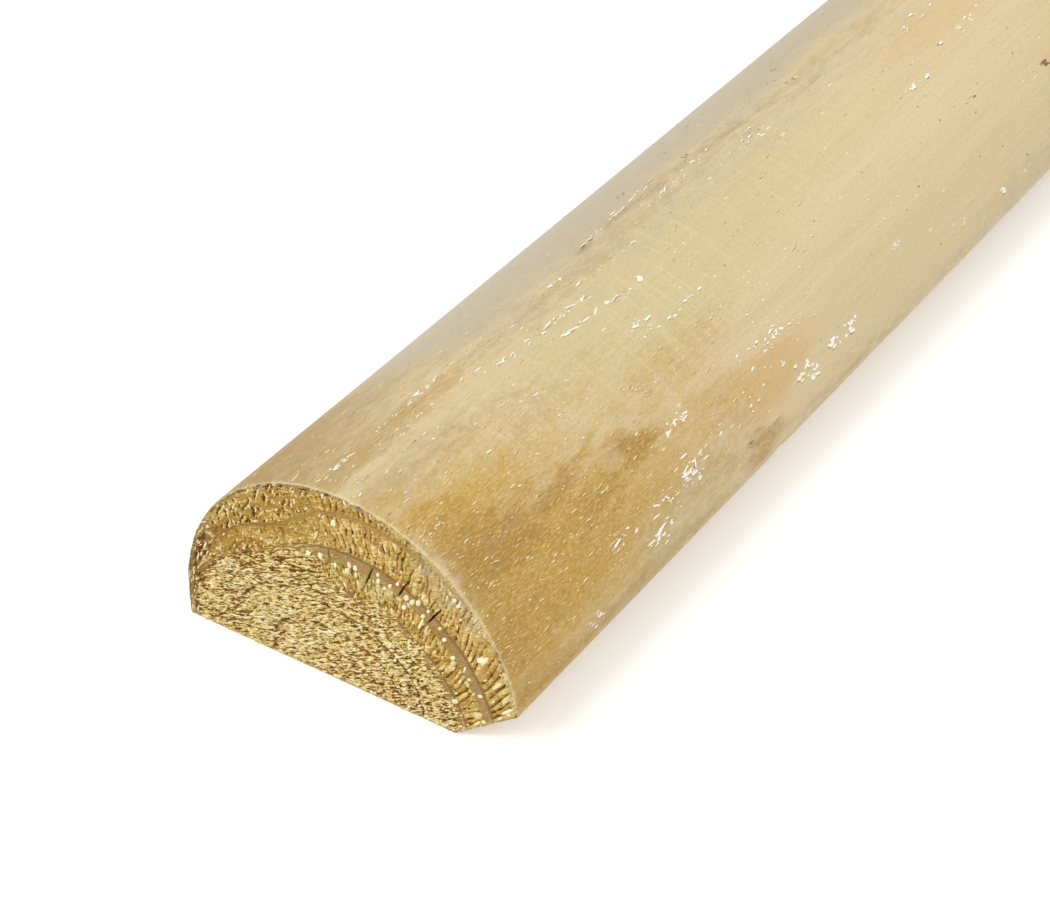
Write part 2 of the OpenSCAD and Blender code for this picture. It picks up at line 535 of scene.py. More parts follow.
def stain_mask(kind, along, degrees):
    """Strength from 0 to 1 of one kind of stain."""
    along_warp = along + 9 * noise(along / 30, degrees / 7, 21) + 3 * noise(along / 7, degrees / 2, 22)
    turn_warp = degrees + 5 * noise(along / 42, degrees / 10, 23)
    turn_warp = turn_warp + 1.6 * noise(along / 11, degrees / 2.5, 24)
    total = np.zeros_like(along)
    for at, turn, half_long, half_wide, strength in STAINS[kind]:
        far = ((along_warp - at) / half_long) ** 2 + ((turn_warp - turn) / half_wide) ** 2
        total = np.maximum(total, strength * np.exp(-0.9 * far ** 1.5))
    return np.clip(total, 0, 1)


print("stains:", {kind: len(found) for kind, found in STAINS.items()})

# %% [markdown]
# The round face is nearly smooth, yet not perfectly: the rounding cutters left long shallow
# waves, the grain stands up a little between the softer years, and where a ring was shaved
# nearly flat its fibres tore out in long ragged lines. The tears are cut into the mesh, and they
# only ever go inwards, so the post keeps its size.

# %% Relief of the round face
# Start and end in mm along, start and end in degrees round, half width and depth in mm
TEARS = [(2, 62, 99, 101, 0.8, 0.35), (70, 118, 100, 102, 0.8, 0.3), (120, 165, 103, 106, 1.1, 0.5),
         (150, 226, 104, 99, 1.3, 0.5), (60, 106, 88, 87, 0.9, 0.3), (92, 112, 81, 80, 0.7, 0.25),
         (3, 74, 54, 45, 1.3, 0.4), (195, 240, 95, 93, 1.0, 0.35), (114, 132, 17, 13, 1.6, 0.5),
         (420, 560, 60, 64, 1.0, 0.4), (700, 880, 110, 104, 1.2, 0.45), (1050, 1150, 35, 38, 1.0, 0.4),
         (1240, 1420, 84, 78, 1.1, 0.4), (1500, 1640, 128, 124, 1.2, 0.4)]


def round_relief(along, degrees):
    """Height over the true circle in mm, never above it, and how torn each place is."""
    arc = np.radians(degrees) * POLE_R
    waves = 0.10 * noise(along / 75, arc / 17, 31) - 0.10
    ridges = 0.045 * noise(along / 26, arc / 1.7, 32) - 0.045
    torn = np.zeros_like(along)
    for start, end, turn0, turn1, half_wide, depth in TEARS:
        t = (along - start) / (end - start)
        path = np.radians(turn0 + (turn1 - turn0) * np.clip(t, 0, 1)) * POLE_R
        path = path + 0.9 * noise(along / 9, start / 7, 33)
        inside = step_up(-0.05, 0.06, t) * step_up(1.05, 0.94, t)
        broken = step_up(-0.3, 0.4, noise(along / 6, arc / 1.6, 34, start / 7))
        torn = np.maximum(torn, depth * inside * broken * np.exp(-((arc - path) / half_wide) ** 2))
    return waves + ridges - torn, torn


probe, _ = round_relief(np.linspace(0, 300, 400), np.full(400, 100.0))
print("relief along one line of the round face:", probe.min().round(2), "to", probe.max().round(2), "mm")

# %% Relief of the sawn faces
# Millimetres from one saw mark to the next, and how far the marks lean
SAW_PITCH = 4.6
SAW_LEAN = 0.35


def sawn_relief(along, across_way):
    """Height of the rip saw's marks in mm, never above the face: slanted waves that fade in and out."""
    way = along + SAW_LEAN * across_way + 2 * noise(along / 60, 0.5, 35)
    wave = np.sin(way * 2 * math.pi / SAW_PITCH)
    fade = 0.5 + 0.5 * noise(along / 130, across_way / 60, 36)
    return 0.06 * fade * (wave - 1) + 0.08 * (noise(along / 40, across_way / 9, 37) - 1)


probe = sawn_relief(np.linspace(0, 60, 200), np.zeros(200))
print("saw marks:", probe.min().round(2), "to", probe.max().round(2), "mm")

# %% [markdown]
# The near end was cross-cut by a coarse saw. The hard latewood came off smooth and stands proud,
# the soft wood between the rings tore into radial teeth on the right and into pits at the upper
# left, and the young wood near the pith is fuzzy, with its fibres dragged one way. All of it is
# relief in the mesh, at a point every third of a millimetre, because the eye is near.

# %% Dark bands of the rings
def latewood(grow, right):
    """1 in the dark band of a ring, 0 in the soft wood between. The inner ring fades to the left."""
    band = np.zeros_like(grow)
    for edge, width in RINGS:
        level = 1.0 if edge > INNER_RING else 0.3
        level = 0.25 + 0.6 * right if edge == INNER_RING else level
        rise = step_up(edge - width - 0.5, edge - width, grow) * step_up(edge + 0.3, edge, grow)
        band = np.maximum(band, level * rise)
    return band


def ray_to_round(turn):
    """Distance from the pith to the round face at this angle."""
    mid = PITH_X * np.cos(turn) - CENTRE_RISE * np.sin(turn)
    return np.sqrt(mid * mid + POLE_R ** 2 - CENTRE_RISE ** 2 - PITH_X ** 2) - mid


print("pith to the round face, straight up:", round(float(ray_to_round(math.pi / 2)), 2), "mm")

# %% Torn teeth on the right
# In millimetres: a pitch is measured this far from the pith, and a length along the fibres
TEETH_R = 40.0
TOOTH_PITCH, TOOTH_LENGTH = 1.8, 5.0
FINE_PITCH, FINE_LENGTH, FINE_FROM = 1.15, 2.3, 33.0
GAP_WIDTH = 0.13


def leaning_right(turn):
    """0 at the top of the end, 1 low on the right, where the saw bent the fibres over."""
    return step_up(74, 32, np.degrees(turn))


def radial_teeth(turn, r, seed):
    """Torn teeth side by side: each has its own tone from -1 to 1, and narrow dark gaps between."""
    lean = 0.14 + 0.4 * leaning_right(turn)
    way = turn * TEETH_R - lean * (r - TEETH_R) + 0.5 * noise(turn * 9, r / 5, seed)
    # Broad teeth low down on the right, finer ones from half way up
    fine = way > FINE_FROM
    cell = np.minimum(way, FINE_FROM) / TOOTH_PITCH + np.maximum(way - FINE_FROM, 0) / FINE_PITCH
    cell = cell + 0.8 * noise(way / 3.2, r / 8, seed + 1)
    cell = cell + (0.15 + 0.35 * fine) * noise(way / 1.5, r / 1.6, seed + 4)
    column = np.floor(cell).astype(np.int64)
    start = 0.5 * corner_value(column, 0, 0, seed + 2)
    row = np.floor(r / np.where(fine, FINE_LENGTH, TOOTH_LENGTH) + start).astype(np.int64)
    own = corner_value(column, row, 0, seed + 3)
    beside = cell - column
    gap = np.exp(-((0.5 - abs(beside - 0.5)) / GAP_WIDTH) ** 2)
    closed = step_up(-0.6, 0.3, corner_value(np.round(cell).astype(np.int64), row, 0, seed + 5))
    # A tooth is a rounded rib, so it is paler on the side that faces the light
    slab = step_up(52, 38, np.degrees(turn)) * step_up(0.66, 0.85, own)
    body = 0.34 + 0.42 * own + 0.7 * slab + 0.85 * (beside - 0.5)
    # The gaps go deeper and are also painted dark: painted shade between the teeth.
    return body - (1.9 + 0.4 * own) * gap * closed


probe = radial_teeth(np.radians([30, 50, 70]), np.full(3, 38.0), 90)
print("tone of the teeth at 30, 50 and 70 degrees:", probe.round(2))

# %% Pits and thin rings
# Rings that show in the young wood: millimetres from the pith at the top, and how clearly they show
YOUNG_RINGS = [(8.0, 0.7), (14.5, 0.85), (21.5, 1.0), (25.0, 0.5), (28.5, 0.8)]
OLDEST_YOUNG = 26.0


def upright_pits(x, z, seed):
    """Short pits that stand nearly upright, in a loose row between the outer ring and the bark side."""
    drawn = noise((x - 0.6 * z) / 0.7, (z + 0.6 * x) / 1.6, seed + 4)
    clump = 0.5 + 0.5 * step_up(-0.5, 0.3, noise(x / 6, z / 4, seed + 10))
    return clump * step_up(0.16, 0.45, drawn)


def young_arcs(x, z, r, degrees, seed):
    """The thin rings in the young wood. They are drawn out to the left, where the tree grew faster."""
    drawn_out = 1 + 0.76 * step_up(92, 165, degrees) - 0.08 * step_up(90, 60, degrees)
    age = r / drawn_out + 0.35 * noise(x / 5, z / 5, seed + 17) + 0.15 * noise(x / 1.6, z / 1.6, seed + 18)
    arcs = np.zeros_like(r)
    for edge, level in YOUNG_RINGS:
        past = (age - edge) * drawn_out
        if edge > OLDEST_YOUNG:
            level = level * step_up(96, 112, degrees)
        line = np.maximum(np.exp(-(past / 0.38) ** 2), 0.3 * np.exp(-((past + 1.2) / 0.9) ** 2))
        arcs = np.maximum(arcs, level * line)
    return arcs * step_up(-1.3, -0.3, noise(x / 9, z / 9, seed + 15))


print("thin rings:", len(YOUNG_RINGS), "the last one only to the left")

# %% Kinds of wood on an end face
SAW_DRAG = math.radians(27)


def end_zones(x, z, seed):
    """Named masks from 0 to 1 for the kinds of wood on a cross-cut end, with its rings and angles."""
    r, turn = np.hypot(x - PITH_X, z), np.arctan2(z, x - PITH_X)
    degrees = np.degrees(turn)
    grow = growth(x, z, 0 * x)
    right = step_up(116, 88, degrees)
    late_zone = step_up(INNER_RING - 0.8, INNER_RING + 0.6, grow)
    outer_zone = step_up(BROAD_RING, BROAD_RING + 0.6, grow)
    # Bark-side crust, only on the far left, with a ragged inner edge
    cover = ray_to_round(turn) - r + 0.7 * noise(x / 2, z / 3, seed + 14)
    rim_width = 2.4 + 3.0 * step_up(176, 152, degrees)
    rim = step_up(138, 150, degrees) * step_up(rim_width + 0.6, rim_width - 0.2, cover)
    # The inner ring's dark band is broken and soft where it climbs to the top
    broken = step_up(INNER_RING - 4, INNER_RING - 2.5, grow) * right * step_up(24, 48, degrees)
    broken = broken * step_up(INNER_RING + 2.5, INNER_RING + 1, grow)
    broken = broken * step_up(0.45, -0.35, noise(turn * 13, r / 2.4, seed + 19))
    band = latewood(grow, right) * (1 - 0.8 * broken) * (1 - rim)
    young = (1 - late_zone * right) * (1 - outer_zone) * (1 - rim)
    late = 1 - 0.6 * outer_zone * step_up(124, 108, degrees)
    late = late * (1 - 0.75 * (1 - right) * step_up(25, 28, grow) * step_up(34, 32, grow))
    lean = SAW_DRAG + 0.2 * step_up(-5, 25, x) + 0.25 * noise(x / 8, z / 8, seed + 12)
    return {"grow": grow, "turn": turn, "lean": lean, "band": band, "young": young, "rim": rim,
            "toothed": late_zone * right, "pitted": outer_zone * (1 - right) * (1 - rim),
            "arcs": young_arcs(x, z, r, degrees, seed) * young, "late": late * (1 - 0.75 * broken)}


# %% Relief of an end face
# In millimetres below the cut
TORN_DEPTH, LATE_DEPTH = 0.34, 0.08
LEAST_DEPTH, MOST_DEPTH = 0.02, 1.2


def end_relief(x, z, seed):
    """For places on a cross-cut end: depth below the cut in mm, and a map of named masks."""
    found = end_zones(x, z, seed)
    r = np.hypot(x - PITH_X, z)
    turn, lean, band, arcs = (found[name] for name in ("turn", "lean", "band", "arcs"))
    u = x * np.cos(lean) + z * np.sin(lean)
    v = z * np.cos(lean) - x * np.sin(lean)
    gritty = noise(x / 0.7, z / 0.7, seed + 3)
    teeth = 0.8 * radial_teeth(turn, r, seed + 20) + 0.4 * gritty
    # Fibres dragged over the young wood, longer on the left and stubbier on the right
    stub = 1.0 + 1.5 * step_up(-10, 18, x)
    drag = 0.8 * noise(u * stub / 4.2, v / 0.75, seed + 5) + 0.75 * noise(u * stub / 2.4, v / 0.5, seed + 6)
    drag = np.maximum(drag + 0.3 * noise(x / 7, z / 7, seed + 16) + 0.17, -0.8)
    # The pits lie outside the outer ring, each with a lit lip, and inside it the wood is smoother
    pit_row = 0.3 + 0.7 * step_up(OUTER_RING - 0.6, OUTER_RING + 0.6, found["grow"])
    pits = -2.2 * upright_pits(x, z, seed) + 1.6 * upright_pits(x - 0.45, z - 0.2, seed)
    speck = 2.0 * noise(turn * 50 / 1.7, r / 0.62, seed + 11) - 0.4
    speck = speck + 0.35 * noise(x / 0.7, z / 0.7, seed + 13)
    lumps = noise(x / 1.3, z / 1.3, seed + 7)
    # This value shapes the relief, and the end grain's colour paints it too: painted highlight on the
    # raised tips, painted shade in the hollows.
    relief_light = found["toothed"] * teeth + found["young"] * drag * (1 - 0.7 * arcs)
    relief_light = relief_light + found["pitted"] * (pit_row * pits + 0.5 * drag) + found["rim"] * speck - 0.7 * arcs
    found["relief_light"] = relief_light * (1 - 0.88 * band)
    depth = TORN_DEPTH - (0.26 + 0.1 * found["toothed"]) * np.clip(found["relief_light"], -1.4, 1.2) - 0.06 * lumps
    depth = depth + 0.15 * found["toothed"] + 0.08 * noise(u / 30, v / 6, seed + 8)
    depth = depth * (1 - band) + band * (LATE_DEPTH + 0.03 * lumps)
    return np.clip(depth, LEAST_DEPTH, MOST_DEPTH), found


probe, _ = end_relief(np.array([-20.0, 0.0, 30.0]), np.array([10.0, 20.0, 25.0]), 70)
print("depths at three places on the end:", probe.round(2), "mm")

# %% [markdown]
# Drying checks are splits that open as the wood dries, since it shrinks most along the rings.
# They run more or less outwards from the pith. The near end has three, and a short one at the top.
# Each has rim points at the surface and a bed of points further in, deepest at its middle.

# %% Drying checks
# Angle about the pith, cover to the round face and length in millimetres, and the angle it runs at
CHECKS = [(99, 17.5, 2.5, 99), (82, 15.7, 7.0, 66), (68.6, 12.8, 5.5, 62), (55, 9.5, 7.0, 56)]
CHECK_WIDTH, CHECK_DEPTH, CHECK_STEPS = 0.46, 5.0, 13
FULL_LENGTH, CHECK_WANDER = 5.0, 0.05


def ray(degrees):
    """The unit vector at this angle on the end face."""
    return np.array([math.cos(math.radians(degrees)), math.sin(math.radians(degrees))])


def check_points():
    """Rim points at the surface, and bed points with their depths, for all of the checks."""
    rim, bed, lines = [], [], []
    for degrees, cover, length, way in CHECKS:
        out = ray(way)
        side = np.array([-out[1], out[0]])
        middle = ray_to_round(math.radians(degrees)) - cover - length / 2
        tip = np.array([PITH_X, 0.0]) + ray(degrees) * middle + out * length / 2
        lines.append((tip, tip - out * length))
        full = min(1.0, length / FULL_LENGTH)
        for t in np.linspace(0.02, 0.98, CHECK_STEPS):
            mid = tip - out * length * t + side * CHECK_WANDER * math.sin(t * 8 + degrees)
            opening = full * math.sin(math.pi * t) ** 0.5
            rim += [mid + side * CHECK_WIDTH / 2 * opening, mid - side * CHECK_WIDTH / 2 * opening]
            bed.append((*mid, CHECK_DEPTH * opening))
    return np.array(rim), np.array(bed), lines


check_rim, check_bed, check_lines = check_points()
print("check rim and bed points:", len(check_rim), len(check_bed))

# %% [markdown]
# An end face is filled with points on circles round the pith, since the wood is made of rings,
# and a triangulation joins them to the border.

# %% Fill and triangulate an end face
SAWN_EASE, END_EASE = 0.22, 0.9
# Gaps between the points, and the room that a check needs beside it, in millimetres
NEAR_GAP, FAR_GAP = 0.33, 1.1
CHECK_ROOM = 0.5


def inside_by(points):
    """How far points lie inside the border that the worn arris leaves."""
    x, z = points[:, 0], points[:, 1]
    in_round = POLE_R - END_EASE - np.hypot(x, z - CENTRE_RISE)
    in_bevel = z * math.cos(BEVEL_ANGLE) - (x - bevel_foot) * math.sin(BEVEL_ANGLE) - SAWN_EASE
    return np.minimum(np.minimum(in_round, z - SAWN_EASE), in_bevel)


def fill_points(gap):
    """Points on half circles round the pith, about one gap apart."""
    found, r, odd = [], 0.3, False
    while r < POLE_R + CENTRE_RISE:
        count = max(3, int(math.pi * r / gap))
        turn = (np.arange(count) + (0.25 if odd else 0.75)) / count * math.pi
        found.append(np.column_stack([PITH_X + r * np.cos(turn), r * np.sin(turn)]))
        r, odd = r + gap * 0.9, not odd
    points = np.vstack(found)
    return points[inside_by(points) > 0.45 * gap]


def clear_of_checks(points, room_needed):
    """The points that leave room around each check."""
    keep = np.ones(len(points), bool)
    for tip, root in check_lines:
        way = root - tip
        t = np.clip((points - tip) @ way / (way @ way), -0.02, 1.02)
        keep &= np.linalg.norm(points - tip - t[:, None] * way, axis=1) > room_needed
    return points[keep]


def triangulate(border, inner):
    """Anticlockwise triangles over the border and the points inside it."""
    count = len(border)
    corners = [Vector(p) for p in np.vstack([border, inner])]
    edges = [(i, (i + 1) % count) for i in range(count)]
    _, _, faces, source, _, _ = delaunay_2d_cdt(corners, edges, [], 1, 1e-6, True)
    return [[source[i][0] for i in face] for face in faces]


near_fill = clear_of_checks(fill_points(NEAR_GAP), CHECK_ROOM)
far_fill = fill_points(FAR_GAP)
print("fill points:", len(near_fill), "near,", len(far_fill), "far")

# %% [markdown]
# Now the pieces of the skin come together. The end arris is worn in four small steps, each
# column by its own amount, and the end's relief fades into them, so the arris is ragged like the
# real one. The long sawn arrises carry small nicks.

# %% Join the skin, its worn arrises and its two ends
EASE_TURNS = np.radians([0, 30, 60, 90])
EASE_FADES = np.array([1.0, 0.8, 0.45, 0.15])
BORDER_SHARE = 0.7
NICK_DEPTH = 0.7

section = skin[0][:, [0, 2]]
column_zone = np.repeat([FLAT, BEVEL, ROUND], [FLAT_STEPS, BEVEL_STEPS, ROUND_STEPS])
bevel_normal = np.array([math.sin(BEVEL_ANGLE), -math.cos(BEVEL_ANGLE)])
outward = np.where(column_zone[:, None] == ROUND, (section - (0, CENTRE_RISE)) / POLE_R,
                   np.where(column_zone[:, None] == BEVEL, bevel_normal, (0.0, -1.0)))
CORNERS = (0, FLAT_STEPS, FLAT_STEPS + BEVEL_STEPS)
for corner in CORNERS:
    both = outward[corner] + outward[corner - 1]
    outward[corner] = both / np.linalg.norm(both)
around = np.arange(COLUMNS)
from_corner = np.min([np.minimum(abs(around - c), COLUMNS - abs(around - c)) for c in CORNERS], axis=0)
round_ease = SAWN_EASE + (END_EASE - SAWN_EASE) * step_up(0, 5, from_corner)
worn = np.where(column_zone == ROUND, round_ease, SAWN_EASE)
degrees_round = np.degrees(np.arctan2(section[:, 1] - CENTRE_RISE, section[:, 0])) % 360
degrees_round = np.where(degrees_round > 270, degrees_round - 360, degrees_round)


def worn_rows(seed):
    """The arris rows of an end: places in the section and distances in from the end."""
    wear = worn * (1 - 0.45 * step_up(-0.2, 0.8, noise(degrees_round / 3, seed, 51)))
    rows, marks = [], []
    for turn in EASE_TURNS:
        rows.append(section - outward * (wear * (1 - math.sin(turn)))[:, None])
        marks.append(wear * (1 - math.cos(turn)))
    return np.array(rows), np.array(marks)


near_rows, near_marks = worn_rows(1)
far_rows, far_marks = worn_rows(2)
places = np.concatenate([near_rows, skin[:, :, [0, 2]], far_rows[::-1]])
along = np.concatenate([near_marks, skin[:, :, 1], LENGTH - far_marks[::-1]])
row_count = len(places)
print("rows and columns of the skin:", row_count, COLUMNS)

# %% Sculpt the skin
turns = np.broadcast_to(degrees_round, along.shape)
ragged, torn = round_relief(along, turns)
corner_fade = step_up(0, 3, from_corner)
across_way = np.broadcast_to(section[:, 0], along.shape)
sawn = sawn_relief(along, across_way)
height = np.where(column_zone == ROUND, ragged, sawn) * corner_fade
nicks = step_up(0.25, 0.9, noise(along / 7, around / 9.0, 61))
nicks = nicks * (0.4 + 0.6 * noise(along / 60, 0.5, 62) ** 2)
height = height - NICK_DEPTH * nicks * np.exp(-(from_corner / 0.9) ** 2)
places = places + outward * height[:, :, None]
skin_grow = growth(places[:, :, 0], places[:, :, 1], along)
print("relief from", height.min().round(2), "to", height.max().round(2), "mm")

# %% Sculpt the ends and close the mesh
NEAR_SEED, FAR_SEED = 70, 90
# How strongly the end grain's painted highlight and shade show on the far end
FAR_RELIEF_LIGHT = 0.75

near_inner = np.vstack([near_fill, check_rim, check_bed[:, :2]])
near_faces = triangulate(places[0], near_inner)
far_faces = triangulate(places[-1], far_fill)


def border_fade(points):
    """Less relief close to the border, so that the arris holds."""
    return BORDER_SHARE + (1 - BORDER_SHARE) * step_up(0, 1.2, inside_by(points))


near_depth, near_masks = end_relief(*near_inner.T, NEAR_SEED)
far_depth, far_masks = end_relief(*far_fill.T, FAR_SEED)
near_depth = near_depth * border_fade(near_inner)
far_depth = far_depth * border_fade(far_fill)
far_masks["relief_light"] = FAR_RELIEF_LIGHT * far_masks["relief_light"]
near_depth[-len(check_bed):] = check_bed[:, 2]
near_border_depth, near_border_masks = end_relief(*places[0].T, NEAR_SEED)
far_border_depth, _ = end_relief(*places[-1].T, FAR_SEED)
for i, fade in enumerate(EASE_FADES):
    along[i] += near_border_depth * BORDER_SHARE * fade
    along[-1 - i] -= far_border_depth * BORDER_SHARE * fade

side = np.dstack([places[:, :, 0], along, places[:, :, 1]]).reshape(-1, 3)
near_points = np.column_stack([near_inner[:, 0], near_depth, near_inner[:, 1]])
far_points = np.column_stack([far_fill[:, 0], LENGTH - far_depth, far_fill[:, 1]])
points = np.vstack([side, near_points, far_points])
near_base = row_count * COLUMNS
far_base = near_base + len(near_points)
last_row = (row_count - 1) * COLUMNS


def skin_faces():
    """Quads between neighbouring rows and columns, facing outwards."""
    row, column = np.meshgrid(np.arange(row_count - 1), around, indexing="ij")
    row, column, beside = row.ravel(), column.ravel(), (column.ravel() + 1) % COLUMNS
    base = row * COLUMNS
    corners = [base + column, base + COLUMNS + column, base + COLUMNS + beside, base + beside]
    return np.column_stack(corners), row, column


quads, quad_row, quad_column = skin_faces()
near_tris = [[i if i < COLUMNS else near_base + i - COLUMNS for i in face] for face in near_faces]
far_tris = [[last_row + i if i < COLUMNS else far_base + i - COLUMNS for i in face[::-1]]
            for face in far_faces]
post_mesh = bpy.data.meshes.new("half_round_timber")
post_mesh.from_pydata((points + (centre_x, NEAR_Y, 0)) * MM, [], quads.tolist() + near_tris + far_tris)
triangles = 2 * len(quads) + len(near_tris) + len(far_tris)
print("timber:", len(points), "points,", triangles, "triangles")

# %% [markdown]
# Masks ride on the mesh as attributes, one number for each point. The materials read them by
# name, so a stain or a torn spot keeps its place whatever the view, and the same numbers tell
# the scattering trees further down where fibres stand up.

# %% Helpers that make masks
# Spots on the end: mm across, mm up, half width, half height
SPOTS = {
    "orange": [(-35, 30, 6, 5), (-27, 33, 3, 2), (18, 40, 5, 2.5), (28, 28, 3, 3), (41.5, 24, 2, 2.5)],
    "greenish": [(-10, 26, 10, 5), (1, 36, 7, 2.5), (11, 33, 6, 2.5), (-27, 11, 6, 4), (-12, 44, 5, 4)],
    "whitened": [(31, 42, 6, 3.5), (38, 36, 4, 3), (24, 47, 4, 2)],
    "heart_pink": [(6, 4, 12, 5), (16, 3, 8, 3)],
    "heart_pale": [(-11, 5, 3, 5), (-24, 14, 7, 6), (-34, 20, 6, 5), (-41, 8, 5, 6), (11, 35, 6, 2.5)]}
DEEP = 0.9


def patch(x, z, at_x, at_z, wide, tall, seed):
    """A soft spot on the end face with a warped edge."""
    far = ((x - at_x) / wide) ** 2 + ((z - at_z) / tall) ** 2
    return np.exp(-far ** 1.3) * (0.75 + 0.5 * noise(x / 2.2, z / 2.2, seed))


def near_line(distance, width):
    """1 on a line or border, fading over this width."""
    return np.exp(-(distance / width) ** 2)


def write_attribute(mesh, name, values):
    """Stores numbers, or vectors where there are three columns, on the points."""
    kind, slot = ("FLOAT_VECTOR", "vector") if values.ndim == 2 else ("FLOAT", "value")
    layer = mesh.attributes.new(name, kind, "POINT")
    layer.data.foreach_set(slot, np.ascontiguousarray(values, dtype=np.float32).ravel())


def joined(side=0.0, border=0.0, near=0.0, far=0.0):
    """One array for the whole mesh. The border's values also hold on the arris rows of the ends."""
    whole = np.array(np.broadcast_to(side, along.shape), float)
    for i, fade in enumerate(EASE_FADES):
        for row in (i, -1 - i):
            whole[row] += (border - whole[row]) * min(1.0, fade * 1.6)
    ends = np.broadcast_to(near, len(near_inner)), np.broadcast_to(far, len(far_fill))
    return np.concatenate([whole.ravel(), *ends])


print("spots on the end:", sum(len(spots) for spots in SPOTS.values()))

# %% Write the masks as attributes
(near_x, near_z), (far_x, far_z), (rim_x, rim_z) = near_inner.T, far_fill.T, places[0].T
on_round = (column_zone == ROUND) * 1.0
masks = {"grow": joined(skin_grow, near_border_masks["grow"], near_masks["grow"], far_masks["grow"])}
for name in ("relief_light", "young", "rim", "late", "pitted", "arcs"):
    masks[name] = joined(0.0, near_border_masks[name], near_masks[name], far_masks[name])
for kind in FAR_STAINS:
    masks[kind] = joined(stain_mask(kind, along, turns) * on_round)
masks["torn"] = joined(torn * on_round)
for seed, (name, spots) in enumerate(SPOTS.items()):
    masks[name] = joined(0.0, *(np.clip(sum(patch(x, z, *spot, 100 + seed) for spot in spots), 0, 1)
                                for x, z in ((rim_x, rim_z), (near_x, near_z), (far_x, far_z))))


def dark_edge(degrees):
    """The dirty left part of the near arris, from the top of the arc downwards."""
    return step_up(74, 92, degrees) * (0.55 + 0.6 * noise(degrees / 2.2, 0.5, 109))


near_edge = dark_edge(np.degrees(np.arctan2(near_z - CENTRE_RISE, near_x)))
near_edge = near_edge * near_line(inside_by(near_inner) - 0.1, 0.5)
masks["dark_edge"] = joined(0.0, dark_edge(degrees_round), near_edge)
# The whitened arris also reaches a few millimetres along the round face
whitened = near_line(along, 4.5) * near_line(turns - 54, 13)
whitened = whitened * (0.6 + 0.8 * noise(along / 1.5, turns / 2, 108))
side_part = masks["whitened"][:along.size]
np.maximum(side_part, np.clip(whitened * on_round, 0, 1).ravel(), out=side_part)
# Painted shade: the deeper a place lies below the cut, the darker the end grain is painted there
near_depth_shade = np.clip(near_depth / DEEP, 0, 1.6)
# The checks' rims and beds are set to full depth, so their painted shade stays dark
near_depth_shade[len(near_fill):] = 1.3
near_depth_shade[-len(check_bed):] = 1.6
far_depth_shade = np.clip(far_depth / DEEP, 0, 1.6)
masks["cavity"] = joined(0.0, np.clip(near_border_depth / 2, 0, 1), near_depth_shade, far_depth_shade)
from_end = np.minimum(along, LENGTH - along)
# The arris mask paints a pale line along the long arrises and round both ends: a painted highlight where
# the worn edges catch the light.
masks["arris"] = joined(np.maximum(near_line(from_corner, 1.2), near_line(from_end, 1.3)), 0.7,
                        near_line(inside_by(near_inner), 0.8), near_line(inside_by(far_fill), 0.8))
for name, values in masks.items():
    write_attribute(post_mesh, name, values)
print("attributes:", ", ".join(masks))

# %% Materials by face, shading, and a bake map that favours the near end
NEAR_SHARE, FIRST_SHARE = 0.345, 0.42
FIRST_STRIP = 620.0
MARGIN = 0.004

faces_of = {"round_face": 0, "sawn_face": 1, "end_grain": 2}
for name in faces_of:
    post_mesh.materials.append(materials[name])
quad_kind = np.where(column_zone[quad_column] == ROUND, 0, 1)
end_rows = (quad_row < 2) | (quad_row > row_count - 4)
quad_kind = np.where(end_rows, faces_of["end_grain"], quad_kind)
kinds = np.concatenate([quad_kind, np.full(len(near_tris) + len(far_tris), faces_of["end_grain"])])
post_mesh.polygons.foreach_set("material_index", kinds.astype(np.int32))
post_mesh.polygons.foreach_set("use_smooth", np.ones(len(kinds), bool))

edge_ends = np.empty(len(post_mesh.edges) * 2, np.int32)
post_mesh.edges.foreach_get("vertices", edge_ends)
edge_ends = edge_ends.reshape(-1, 2)
on_side = (edge_ends < near_base).all(axis=1)
same = edge_ends[:, 0] % COLUMNS == edge_ends[:, 1] % COLUMNS
sharp = on_side & same & np.isin(edge_ends[:, 0] % COLUMNS, CORNERS)
crisp = post_mesh.attributes.new("sharp_edge", "BOOLEAN", "EDGE")
crisp.data.foreach_set("value", sharp)


def bake_map():
    """Face corner places: the near end fills a strip of its own, the skin lies in two strips."""
    width = np.linalg.norm(np.roll(section, -1, axis=0) - section, axis=1)
    ways = np.concatenate([[0], np.cumsum(np.where(column_zone == FLAT, 0.5, 1.0) * width)])
    ways /= ways[-1]
    mark = along.mean(axis=1)
    split = int(np.argmin(abs(mark - FIRST_STRIP)))
    corner_row = np.column_stack([quad_row, quad_row + 1, quad_row + 1, quad_row])
    corner_way = ways[np.column_stack([quad_column, quad_column, quad_column + 1, quad_column + 1])]
    first = (quad_row < split)[:, None]
    beyond = (mark[corner_row] - mark[split]) / (LENGTH - mark[split])
    run = np.where(first, mark[corner_row] / mark[split], beyond)
    top = NEAR_SHARE + FIRST_SHARE
    rise = np.where(first, NEAR_SHARE + corner_way * (FIRST_SHARE - MARGIN),
                    top + corner_way * (1 - top - MARGIN))
    quad_uv = np.dstack([MARGIN + run * (1 - 2 * MARGIN), rise]).reshape(-1, 2)
    scale = (NEAR_SHARE - 2 * MARGIN) / (POLE_R + CENTRE_RISE)
    near_uv = MARGIN + (points[np.array(near_tris).ravel()][:, [0, 2]] + (POLE_R, 0)) * scale
    far_scale = (1 - near_uv[:, 0].max() - 3 * MARGIN) / (2 * POLE_R)
    far_uv = (points[np.array(far_tris).ravel()][:, [0, 2]] + (POLE_R, 0)) * far_scale
    far_uv = far_uv + (near_uv[:, 0].max() + 2 * MARGIN, MARGIN)
    return np.vstack([quad_uv, near_uv, far_uv])


corner_places = bake_map()
bake_layer = post_mesh.uv_layers.new(name="OFBake")
bake_layer.uv.foreach_set("vector", corner_places.astype(np.float32).ravel())
post = bpy.data.objects.new("half_round_timber", post_mesh)
scene.collection.objects.link(post)
print("sharp edges:", int(sharp.sum()))
print("bake map from", corner_places.min(0).round(3), "to", corner_places.max(0).round(3))
